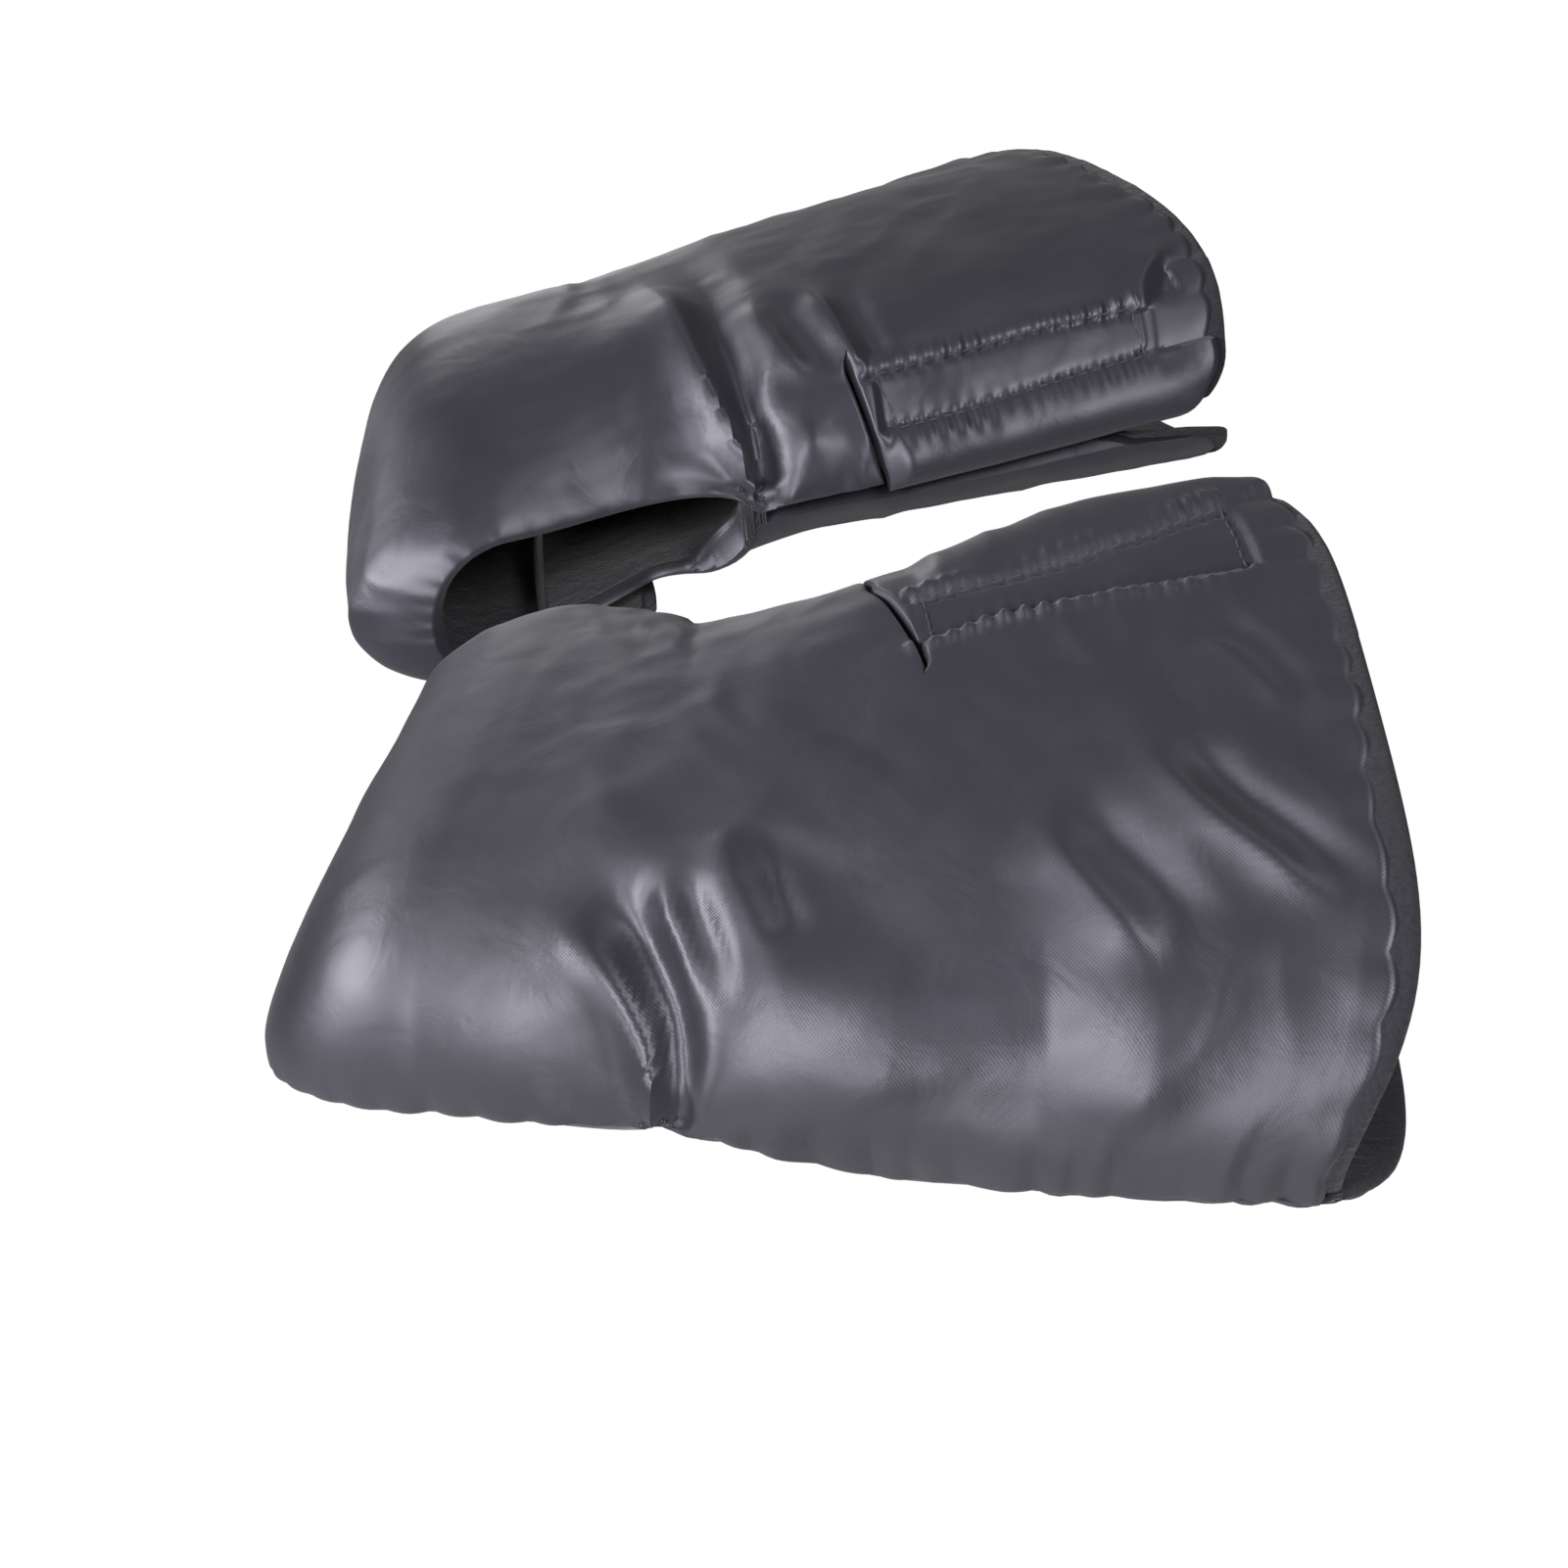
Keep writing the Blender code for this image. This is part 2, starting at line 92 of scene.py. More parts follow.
# How the two muffs lie when worn. Pairs are for the inner and the outer side. A puff is where the
# padding stands proud: along, its spread, angle, its spread and height.
lays = {
    "left": {
        "side": -1, "hinge": 8, "tail": 62, "splay": 13.5, "roll": 11.5, "pitch": 8.5, "seed": 3,
        "push": (0.008, 0.030), "sink": (0.007, -0.004), "tack": (0.19, 0.268), "lipRise": (0.022, -0.0105),
        "reachChange": -0.006, "skew": -0.007, "innerCornerCut": 0.028, "outerCornerCut": (0.024, 5),
        "belly": 0.0, "noseReach": 0.045, "outerNoseReach": 0.048, "innerLipReach": 0.034,
        "slotSlant": (0.013, -0.0028, 15, 37), "lapFadeAngles": (96, 118), "lipAngle": 60, "lipPull": 0.014,
        "seamDrop": (0.0, 0.0, 0.0, 0.0), "seamTuck": (0.016, 0.006),
        "puffs": [(0.165, 0.045, 58, 26, 0.0050), (0.10, 0.03, -62, 26, 0.002)],
        "underPuffs": [(0.065, 0.055, -72, 36, -0.0050), (0.165, 0.045, 122, 26, 0.0050)],
    },
    "right": {
        "side": 1, "hinge": 44, "tail": 93, "splay": 11.5, "roll": 8.5, "pitch": 5.5, "seed": 8,
        "push": (0.027, 0.001), "sink": (0.010, 0.001), "tack": (0.335, 0.20), "lipRise": (0.0195, -0.006),
        "reachChange": 0.007, "skew": 0.002, "innerCornerCut": 0.012, "outerCornerCut": (0.036, 3.2),
        "belly": 0.005, "noseReach": 0.0525, "outerNoseReach": 0.038, "innerLipReach": 0.027,
        "slotSlant": (-0.003, 0.00073, 58, 98), "lapFadeAngles": (80, 88), "lipAngle": 72, "lipPull": 0.036,
        "seamDrop": (0.004, 0.0085, 0.0075, 0.004), "seamTuck": (0.008, 0.004),
        "puffs": [(0.0, 0.045, -10, 48, 0.012), (-0.045, 0.026, 0, 60, -0.0055)],
        "underPuffs": [(0.09, 0.08, 72, 34, -0.0065)],
    },
}
cuffReach, noseArc = muffCut["cuffReach"], muffCut["noseArc"]
noiseTable = np.random.default_rng(11).uniform(-1, 1, (64, 64))


def ease(x):
    x = np.clip(x, 0.0, 1.0)
    return x * x * (3 - 2 * x)


def bell(x, width):
    return np.exp(-((x / width) ** 2))


def signedPower(value, power):
    return np.sign(value) * np.abs(value) ** power


def through(place, stations, values):
    # a smooth curve through the values at the stations, straight past the last one
    stations, values = np.array(stations), np.array(values)
    slopes = np.empty(len(values))
    steps = np.diff(values) / np.diff(stations)
    slopes[0], slopes[-1] = steps[0], steps[-1]
    slopes[1:-1] = (values[2:] - values[:-2]) / (stations[2:] - stations[:-2])
    i = np.clip(np.searchsorted(stations, place) - 1, 0, len(values) - 2)
    span = stations[i + 1] - stations[i]
    x = (place - stations[i]) / span
    inside = np.clip(x, 0.0, 1.0)
    low = (values[i] * (1 + 2 * inside) + slopes[i] * span * inside) * (1 - inside) ** 2
    high = (values[i + 1] * (3 - 2 * inside) - slopes[i + 1] * span * (1 - inside)) * inside**2
    return low + high + slopes[i + 1] * span * (x - inside)


def softNoise(x, y, seed=0):
    # smooth random height from -1 to 1, one bump a unit
    x, y = x + 13.7 * seed, y + 7.3 * seed
    i, j = np.floor(x).astype(int), np.floor(y).astype(int)
    u, v = ease(x - i), ease(y - j)
    size = len(noiseTable)
    corner = lambda di, dj: noiseTable[(i + di) % size, (j + dj) % size]
    low = corner(0, 0) * (1 - u) + corner(1, 0) * u
    return low * (1 - v) + (corner(0, 1) * (1 - u) + corner(1, 1) * u) * v


def arcTable():
    # arc length round a middling cross-section, so that folds and puckers are set in metres
    width, height = muffCut["innerWidths"][2], muffCut["halfHeights"][2]
    angles = np.radians(np.arange(-180, 181, 0.5))
    x = width * signedPower(np.sin(angles), muffCut["squareness"])
    z = height * signedPower(np.cos(angles), muffCut["squareness"])
    arc = np.concatenate([[0], np.cumsum(np.hypot(np.diff(x), np.diff(z)))])
    return np.degrees(angles), arc - arc[len(arc) // 2]


arcAngles, arcLengths = arcTable()


def arcOf(angle):
    return np.interp(angle, arcAngles, arcLengths)


def angleOf(arc):
    return np.interp(arc, arcLengths, arcAngles)


def alongOf(zone, share):
    # metres along the wrap from the top of the nose, positive towards the cuff
    if zone == "top":
        return share * cuffReach
    if zone == "nose":
        return -share * noseArc
    return -noseArc - share * cuffReach


outerSeam, innerSeam = float(arcOf(-90)), float(arcOf(90))


def sheetPoint(lay, zone, share, angle, depth):
    # a point of the muff in its own frame: along the sleeve, across it and up from it
    cut = muffCut
    across = signedPower(np.sin(angle), cut["squareness"])
    crown = signedPower(np.cos(angle), cut["squareness"])
    inner, outer = (1 + across) / 2, (1 - across) / 2
    inward, outward = np.clip(across, 0, 1), np.clip(-across, 0, 1)
    sheetShare = share * (zone != "nose")
    pastHole = ease((sheetShare - 0.30) / 0.25)
    both = lambda pair: pair[0] * inner + pair[1] * outer
    start = -both(lay["push"])
    reach = cuffReach + lay["reachChange"] + lay["skew"] * across
    reach = reach - lay["innerCornerCut"] * np.where(angle > math.pi / 2, 1, inward) ** 5
    reach = reach - lay["outerCornerCut"][0] * outward ** lay["outerCornerCut"][1]
    run = (reach - start) * sheetShare
    place = start + run
    innerWidth, outerWidth, fullHeight = (
        through(run, cut["stations"], cut[key]) for key in ("innerWidths", "outerWidths", "halfHeights")
    )
    innerWidth, outerWidth, halfHeight = innerWidth - depth, outerWidth - depth, fullHeight - depth
    opening = np.sqrt(np.clip(1 - (sheetShare / both(lay["tack"])) ** 2, 0, 1))
    squeeze, shut = halfHeight / fullHeight, cut["seamGap"] / 2
    edges = (lay["lipRise"], cut["underDrop"])
    topEdge, underEdge = (shut + (both(edge) * squeeze - shut) * opening for edge in edges)
    top = topEdge + (halfHeight - topEdge) * crown
    keel = crown ** (1 + 0.9 * ease((-angle - 0.6) / 0.9) * pastHole)
    under = -underEdge - (halfHeight - underEdge) * keel
    recess = cut["outerRecess"] * opening
    if zone == "top":
        height = top
    elif zone == "under":
        height = under
        outerWidth = outerWidth - recess
    else:
        turn = math.pi / 2 + math.pi * share
        nose = lay["noseReach"] + (lay["outerNoseReach"] - lay["noseReach"]) * outer**3
        nose = nose + (lay["innerLipReach"] - lay["noseReach"]) * ease((angle - 0.9) / 0.67)
        place = place + (nose - depth) * np.cos(turn)
        height = (top + under) / 2 + (top - under) / 2 * np.sin(turn)
        outerWidth = outerWidth - recess * ease(share)
    width = (innerWidth + outerWidth) / 2 + (innerWidth - outerWidth) / 2 * across
    settle = ease(2 * run / cuffReach)
    height = height - both(lay["sink"]) * (1 - settle) + lay["belly"] * settle
    height = height - through(run, cut["stations"], lay["seamDrop"]) * inward**3
    tuck = np.clip((-angle - 0.75) / 0.82, 0, 1) ** 1.7 * pastHole
    height, width = height - lay["seamTuck"][0] * tuck, width - lay["seamTuck"][1] * tuck
    return np.stack([place, width * across - cut["innerWidths"][0], height], axis=-1)


def toWorld(lay, points):
    splay, roll, pitch = (math.radians(lay[key]) for key in ("splay", "roll", "pitch"))
    flat = math.cos(pitch)
    along = Vector((math.cos(splay) * flat, -math.sin(splay) * flat, math.sin(pitch)))
    level = Vector((math.sin(splay), math.cos(splay), 0))
    across = level * math.cos(roll) + along.cross(level) * math.sin(roll)
    axes = np.array([along, across, along.cross(across)])
    world = points @ axes + np.array([0, -muffCut["muffGap"] / 2, muffCut["rideHeight"]])
    return world * np.array([1, -lay["side"], 1])


def pastLap(share):
    # 0 where the bar flap laps under the nose, 1 where the under panel runs free
    return ease((share - places["lapEnd"]) / (places["lapFade"] - places["lapEnd"]))


def padThickness(angle, share, zone, most=math.inf):
    # full thickness of the wall: thick at the crown, thin at hems, seams and laps
    crown = ease(np.abs(np.cos(angle)) * 1.3)
    toCuff = ease((1 - share) * cuffReach / (4 * padding["crown"]))
    if zone == "top":
        swell = 0.35 + 0.65 * toCuff
        return np.minimum(padding["edge"] + (padding["crown"] - padding["edge"]) * crown * swell, most)
    swell = ease(1 - share / places["noseHinge"]) if zone == "nose" else pastLap(share) * toCuff
    lap = padding["edge"] + (padding["lap"] - padding["edge"]) * crown
    return np.minimum(lap + (padding["crown"] - padding["lap"]) * crown * swell, most)


def lapDepth(lay, angle, share):
    # how far in the under panel lies where a flap and two tapes lap over it
    cover = padding["lap"] + 2 * (padding["tape"] + padding["layerGap"]) + padding["layerGap"]
    first, last = (math.radians(edge) for edge in lay["lapFadeAngles"])
    back = pastLap(share)
    return cover * np.maximum(1 - back, back * ease((angle - first) / (last - first)))


# Small helpers
def addObject(name, data):
    obj = bpy.data.objects.new(name, data)
    bpy.context.scene.collection.objects.link(obj)
    return obj


def newMesh(name, points, faces, material):
    mesh = bpy.data.meshes.new(name)
    mesh.from_pydata(points, [], faces)
    mesh.materials.append(material)
    mesh.shade_smooth()
    return mesh


def setInputs(tree, node, values):
    # a socket among the values is linked, anything else is set
    for socket, value in values.items():
        if isinstance(value, bpy.types.NodeSocket):
            tree.links.new(value, node.inputs[socket])
        else:
            node.inputs[socket].default_value = value
    return node


def addNode(tree, kind, values={}, **settings):
    node = tree.nodes.new(kind)
    for key, value in settings.items():
        setattr(node, key, value)
    return setInputs(tree, node, values)


def nodeOut(tree, kind, values={}, **settings):
    # adds a node and returns its first working output
    return next(out for out in addNode(tree, kind, values, **settings).outputs if out.enabled)


def newTree(kind, name, inputs, outputs):
    # a node group; its sockets are given by a starting value or by the name of their kind
    tree = bpy.data.node_groups.new(name, kind)
    for way, sockets in (("INPUT", inputs), ("OUTPUT", outputs)):
        for title, value in sockets.items():
            sort = value if isinstance(value, str) else "Int" if isinstance(value, int) else "Float"
            socket = tree.interface.new_socket(title, in_out=way, socket_type=f"NodeSocket{sort}")
            if sort != value:
                socket.default_value = value
    return tree, addNode(tree, "NodeGroupInput"), addNode(tree, "NodeGroupOutput")


def newMaterial(name, colour, roughness, sockets):
    material = bpy.data.materials.new(name)
    material.use_nodes = True
    tree = material.node_tree
    values = {"Base Color": (*colour, 1), "Roughness": roughness, **sockets}
    return material, tree, setInputs(tree, tree.nodes["Principled BSDF"], values)


# Camera and light
studio = {
    "cameraPlace": (-0.0331, -0.5398, 0.3500),
    "cameraLook": (0.1227, 0.7838, -0.6089),
    "cameraRoll": 0.13,
    "focal": 36 * 2269 / 1601,
    "lampDistance": 1.5,
    "ambient": (0.036, 0.036, 0.039, 1),
    "floorHeight": -0.60,
    "floorSize": 6.0,
    "floorColour": (0.28, 0.28, 0.29),
}
# direction and height in degrees, size in metres and power
lamps = {
    "keyLamp": (188, 24, 0.5, 20.0),
    "fillLamp": (229, 28, 0.5, 15.0),
    "lowLamp": (255, 10, 0.5, 8.0),
    "frontLamp": (304, 42, 0.6, 12.0),
    "backLamp": (98, 7, 0.5, 3.2),
}


def makeCamera():
    camera = addObject("camera", bpy.data.cameras.new("camera"))
    turn = Vector(studio["cameraLook"]).to_track_quat("-Z", "Y").to_matrix().to_4x4()
    roll = Matrix.Rotation(math.radians(studio["cameraRoll"]), 4, "Z")
    camera.matrix_world = Matrix.Translation(studio["cameraPlace"]) @ turn @ roll
    camera.data.lens = studio["focal"]
    camera.data.clip_start = 0.01
    bpy.context.scene.camera = camera


def makeLamp(name, azimuth, height, size, watts):
    lamp = addObject(name, bpy.data.lights.new(name, "AREA"))
    lamp.data.shape, lamp.data.size, lamp.data.energy = "DISK", size, watts
    around, up = math.radians(azimuth), math.radians(height)
    towards = Vector((math.cos(up) * math.cos(around), math.cos(up) * math.sin(around), math.sin(up))).normalized()
    place = Matrix.Translation(towards * studio["lampDistance"])
    lamp.matrix_world = place @ towards.to_track_quat("Z", "Y").to_matrix().to_4x4()


def makeWorld():
    # white to the camera, a faint even light on the muffs
    world = bpy.data.worlds.new("studioWorld")
    bpy.context.scene.world = world
    world.use_nodes = True
    tree = world.node_tree
    shown = {"A": studio["ambient"], "B": (1, 1, 1, 1), "Factor": nodeOut(tree, "ShaderNodeLightPath")}
    setInputs(tree, tree.nodes["Background"], {"Color": nodeOut(tree, "ShaderNodeMix", shown, data_type="RGBA")})
    bpy.context.scene.view_settings.view_transform = "Standard"


def makeFloor():
    material, tree, shader = newMaterial("paleFloor", studio["floorColour"], 0.9, {})
    glow = nodeOut(tree, "ShaderNodeEmission", {"Strength": 1.0})
    shown = {"Fac": nodeOut(tree, "ShaderNodeLightPath"), 1: shader.outputs[0], 2: glow}
    setInputs(tree, tree.nodes["Material Output"], {"Surface": nodeOut(tree, "ShaderNodeMixShader", shown)})
    half, low = studio["floorSize"], studio["floorHeight"]
    corners = [(x * half, y * half, low) for x, y in ((-1, -1), (1, -1), (1, 1), (-1, 1))]
    floor = addObject("floor", newMesh("floor", corners, [(0, 1, 2, 3)], material))


makeCamera()
for lampName, lampSettings in lamps.items():
    makeLamp(lampName, *lampSettings)
makeWorld()
makeFloor()
print("camera, lamps and floor made")


# Materials
def weaveGroup():
    # crossing threads: height out, from a cloth's own UV map in metres
    group, start, end = newTree("ShaderNodeTree", "clothWeave", {"Thread Width": 0.0004}, {"Height": 0.0})

    def maths(operation, *values):
        return nodeOut(group, "ShaderNodeMath", dict(enumerate(values)), operation=operation)

    split = addNode(group, "ShaderNodeSeparateXYZ", {0: nodeOut(group, "ShaderNodeUVMap", uv_map="clothUv")})
    waves = []
    for axis in ("X", "Y"):
        threads = maths("DIVIDE", split.outputs[axis], start.outputs["Thread Width"])
        waves.append(maths("SINE", maths("MULTIPLY", threads, math.pi)))
    setInputs(group, end, {"Height": maths("MULTIPLY", *waves)})
    return group


def noiseGroup(name, noises):
    # soft noise from object coordinates: each output's scale (none for the group's own), detail and distortion
    group, start, end = newTree("ShaderNodeTree", name, {"Scale": 60.0}, {output: 0.0 for output in noises})
    where = addNode(group, "ShaderNodeTexCoord").outputs["Object"]
    for output, (scale, detail, distortion) in noises.items():
        noise = {"Vector": where, "Detail": detail, "Distortion": distortion, "Scale": scale or start.outputs["Scale"]}
        setInputs(group, end, {output: nodeOut(group, "ShaderNodeTexNoise", noise)})
    return group


effects = {
    "weave": weaveGroup(),
    "crinkle": noiseGroup("clothCrinkle", {"Height": (None, 3, 0.6), "Tone": (14, 2, 0)}),
    "pile": noiseGroup("clothPile", {"Height": (None, 2, 0)}),
}
# A bump is an effect, its scale or thread width, the bump's distance and strength. Tones are the effect
# and output that they follow, and two stops of place and colour.
finishes = {
    "satin_nylon": {
        "title": "satinNylon", "colour": (0.036, 0.034, 0.046), "roughness": 0.44, "roughSpan": (0.41, 0.50),
        "bumps": (("crinkle", 65, 0.0014, 0.26), ("weave", 0.0004, 0.00003, 0.3)),
        "tones": ("crinkle", "Tone", (0.3, 0.017, 0.0160, 0.022), (0.7, 0.023, 0.0217, 0.030)),
        "sockets": {"Specular IOR Level": 1.0, "Specular Tint": (0.90, 0.87, 1, 1), "Anisotropic": 0.7,
                    "Anisotropic Rotation": 0.25, "Sheen Weight": 0.10, "Sheen Roughness": 0.45},
    },
    "fleece": {
        "title": "fleece", "colour": (0.020, 0.019, 0.025), "roughness": 0.95,
        "bumps": (("crinkle", 160, 0.002, 0.5), ("pile", 900, 0.0006, 0.8)),
        "tones": ("pile", "Height", (0, 0.012, 0.011, 0.015), (1, 0.034, 0.032, 0.040)),
        "sockets": {"Specular IOR Level": 0.1, "Sheen Weight": 0.12, "Sheen Roughness": 0.6},
    },
    "hook_and_loop": {
        "title": "hookAndLoop", "colour": (0.018, 0.018, 0.021), "roughness": 0.75,
        "bumps": (("weave", 0.0009, 0.0002, 0.7),), "sockets": {"Sheen Weight": 0.2},
    },
    "thread": {
        "title": "sewingThread", "colour": (0.026, 0.025, 0.032), "roughness": 0.5,
        "bumps": (("crinkle", 1500, 0.0001, 0.6),), "sockets": {"Sheen Weight": 0.2},
    },
}


def makeFinish(title, colour, roughness, bumps, sockets, tones=None, roughSpan=None):
    material, tree, shader = newMaterial(title, colour, roughness, sockets)
    groups, normal = {}, {}
    for effect, scale, distance, strength in bumps:
        groups[effect] = addNode(tree, "ShaderNodeGroup", node_tree=effects[effect])
        setInputs(tree, groups[effect], {0: scale})
        bump = {"Distance": distance, "Strength": strength, "Height": groups[effect].outputs["Height"], **normal}
        normal = {"Normal": nodeOut(tree, "ShaderNodeBump", bump)}
    setInputs(tree, shader, normal)
    if tones:
        effect, output, *stops = tones
        ramp = addNode(tree, "ShaderNodeValToRGB", {"Fac": groups[effect].outputs[output]})
        for element, (place, *tone) in zip(ramp.color_ramp.elements, stops):
            element.position, element.color = place, (*tone, 1)
        setInputs(tree, shader, {"Base Color": ramp.outputs["Color"]})
    if roughSpan:
        # satin: uneven gloss, and a sheen that runs across the threads
        rough = {"Value": groups["crinkle"].outputs["Height"], "To Min": roughSpan[0], "To Max": roughSpan[1]}
        tangent = nodeOut(tree, "ShaderNodeTangent", direction_type="UV_MAP", uv_map="clothUv")
        setInputs(tree, shader, {"Roughness": nodeOut(tree, "ShaderNodeMapRange", rough), "Tangent": tangent})
    return material


materials = {slot: makeFinish(**finish) for slot, finish in finishes.items()}
print("materials made")

# Folds of the top sheet, each a ridge with a valley beside it: (share, angle) points, height, widths at
# the two ends, depth of the valley, the side it is on, and the shares over which the ends fade
topFolds = {
    "left": [
        ([(0.10, -27), (0.14, -34), (0.183, -40), (0.22, -47), (0.25, -58), (0.275, -76), (0.272, -89)],
         0.0052, (0.009, 0.0026), 0.85, 1, (0.45, 0.10)),
        ([(0.19, -28), (0.233, -38), (0.263, -48), (0.293, -62), (0.295, -78)],
         -0.0038, (0.004, 0.006), 0.0, 1, (0.3, 0.3)),
        ([(0.25, -22), (0.262, -31), (0.28, -38), (0.293, -44), (0.30, -54)],
         0.0024, (0.003, 0.004), 0.7, 1, (0.3, 0.4)),
        ([(0.30, -14), (0.312, -20), (0.335, -28), (0.38, -40), (0.41, -58)],
         0.0036, (0.004, 0.014), 0.5, 1, (0.4, 0.5)),
        ([(0.35, -17), (0.38, -28), (0.405, -35)], -0.0022, (0.002, 0.003), 0.0, 1, (0.4, 0.3)),
        ([(0.62, -14), (0.677, -24), (0.715, -31), (0.77, -42)], 0.0034, (0.006, 0.006), 0.8, 1, (0.3, 0.3)),
        ([(0.74, -5), (0.80, -14), (0.86, -22), (0.945, -33)], 0.0034, (0.005, 0.004), 0.8, 1, (0.3, 0.3)),
        ([(0.82, 10), (0.87, 4), (0.915, -3)], 0.0012, (0.004, 0.003), 0.6, 1, (0.3, 0.3)),
        ([(0.50, -32), (0.505, -50), (0.515, -70)], 0.0020, (0.018, 0.018), 0.0, 1, (0.4, 0.3)),
        ([(0.635, -30), (0.65, -46), (0.665, -62), (0.66, -78)], -0.0030, (0.011, 0.013), 0.0, 1, (0.4, 0.3)),
        ([(0.755, -38), (0.765, -55), (0.77, -74)], 0.0018, (0.012, 0.012), 0.4, 1, (0.4, 0.3)),
    ],
    "right": [
        ([(0.265, -10), (0.28, 5), (0.287, 26), (0.30, 44), (0.317, 62), (0.335, 84)],
         0.0052, (0.009, 0.0026), 1.1, -1, (0.35, 0.03)),
        ([(0.38, 14), (0.39, 25), (0.407, 39), (0.43, 53)], 0.0030, (0.005, 0.005), 0.8, -1, (0.35, 0.3)),
        ([(0.475, 14), (0.48, 27), (0.484, 40), (0.497, 52)], 0.0030, (0.005, 0.004), 0.7, -1, (0.35, 0.2)),
        ([(0.43, 62), (0.40, 76), (0.37, 88)], 0.0024, (0.006, 0.003), 0.6, 1, (0.3, 0.1)),
        ([(0.885, 56), (0.895, 46), (0.93, 40), (0.97, 42)], 0.0024, (0.004, 0.005), 0.8, 1, (0.2, 0.4)),
    ],
}
# Hollows and swells: share, angle, two radii in metres and height
topDents = {
    "left": [(0.215, -70, 0.013, 0.018, -0.005), (0.385, -50, 0.024, 0.026, 0.003), (0.05, -60, 0.02, 0.03, 0.0015)],
    "right": [(0.22, 62, 0.020, 0.026, -0.0030), (0.44, 74, 0.012, 0.012, 0.0016)],
}
# The stitched rectangle of the closure: its crown-side and inner-side lines, as (share, angle)
strips = {
    "left": {"crown": [(0.505, 15.5), (0.60, 20), (0.733, 22), (0.895, 23)],
             "inner": [(0.49, 27), (0.608, 30), (0.743, 34), (0.900, 42)]},
    "right": {"crown": [(0.50, 53), (0.60, 53), (0.74, 53), (0.867, 55)],
              "inner": [(0.515, 71), (0.643, 71), (0.78, 70), (0.88, 70)]},
}
strip = {"depth": 0.0016, "groove": 0.0022, "grooveWidth": 0.0011, "period": 0.0044, "ruffle": 0.0018,
         "ruffleAway": 0.0032, "ruffleWidth": 0.0024, "endGroove": 0.0018, "endWidth": 0.0016, "startShare": 0.48,
         "roll": {"left": 0.0030, "right": 0.0048}}
barStrip = {"groove": 0.0016, "grooveWidth": 0.0010, "ruffle": 0.0006, "ruffleAway": 0.003, "ruffleWidth": 0.0022}
# Puckers beside hems and seams: height, period, seed and how far in they fade
puckers = {"cuff": (0.0014, 0.0125, 2, 0.008), "outerSeam": (0.0014, 0.011, 4, 0.010),
           "innerSeam": (0.0010, 0.010, 6, 0.009), "underCuff": (0.0013, 0.013, 12, 0.008)}
gather = {"height": 0.0016, "spokes": 9, "spread": 0.011, "clear": 0.004, "wander": 0.012}
# Unevenness: height and size both ways of the lumps; height, turn, length and width of the creases; seeds
lumps = ((0.0010, 0.050, 0.038, 0), (0.0006, 0.024, 0.020, 1), (0.00022, 0.009, 0.007, 2))
pulls = ((0.0006, 75, 0.040, 0.023, 9), (0.0004, 115, 0.024, 0.013, 14))


grid = {"sleeve": 0.0017, "flap": 0.00095, "flapMargin": 0.006, "nose": 0.0019, "round": 0.0018,
        "roundMargin": 0.004, "under": 0.0021, "underRound": 0.0020, "coarser": 1.9, "underCoarser": 1.8,
        "crowd": (0.0002, 0.0005, 0.0010, 0.0017, 0.0026, 0.0036), "hemClear": 0.00015, "closest": 0.00012}
pile = {"roll": 0.0095, "rollEase": 0.003, "full": 0.88, "fuzz": 0.00035, "fuzzSize": 0.0035, "hemRound": 0.0028}


def smoothLine(points, count=24):
    # a Catmull-Rom curve through given points
    points = np.array(points, float)
    ends = np.vstack([2 * points[0] - points[1], points, 2 * points[-1] - points[-2]])
    out = []
    for spot in np.linspace(0, len(points) - 1, count):
        i = min(int(spot), len(points) - 2)
        t = spot - i
        a, b, c, d = ends[i : i + 4]
        out.append(0.5 * (2 * b + (c - a) * t + (2 * a - 5 * b + 4 * c - d) * t**2 + (3 * b - a - 3 * c + d) * t**3))
    return np.array(out)


def flatLine(points, count=24):
    return smoothLine([(alongOf("top", share), float(arcOf(angle))) for share, angle in points], count)


def nearLine(a, b, line):
    # distance to a line on the flat cloth, signed by its side, and how far along it
    best = np.full(a.shape, 1e9)
    side, where = np.zeros(a.shape), np.zeros(a.shape)
    for k in range(len(line) - 1):
        start, run = line[k], line[k + 1] - line[k]
        t = np.clip(((a - start[0]) * run[0] + (b - start[1]) * run[1]) / (run @ run), 0, 1)
        da, db = a - start[0] - t * run[0], b - start[1] - t * run[1]
        gap = np.hypot(da, db)
        closer = gap < best
        best = np.where(closer, gap, best)
        side = np.where(closer, np.sign(run[0] * db - run[1] * da), side)
        where = np.where(closer, (k + t) / (len(line) - 1), where)
    return best * side, where


def foldRelief(a, b, points, height, widths, valley, side, ends):
    signed, where = nearLine(a, b, flatLine(points))
    signed = signed * side
    width = widths[0] + (widths[1] - widths[0]) * where
    strength = ease(where / ends[0]) * ease((1 - where) / ends[1])
    slope = np.where(signed > 0, np.maximum(0.72 * width, 0.0022), 1.35 * width)  # steep on the valley's side
    ridge = np.exp(-(np.abs(signed / slope) ** 1.5))
    return height * strength * (ridge - valley * bell(signed - 1.75 * width, 0.95 * width))


def toothWave(turns):
    return 0.5 + 0.5 * np.cos(2 * math.pi * turns)


def puckerWave(x, period, seed):
    # round bulges with sharp pinches between them, unevenly spaced
    bend = x / period + 0.35 * softNoise(x / period / 1.7, 0, seed)
    strength = 0.65 + 0.35 * softNoise(x / period / 2.3, 5, seed)
    return (np.abs(np.sin(math.pi * bend)) - 0.6) * strength


def hemPuckers(kind, place, gap):
    height, period, seed, fade = puckers[kind]
    return height * puckerWave(place, period, seed) * bell(gap, fade)


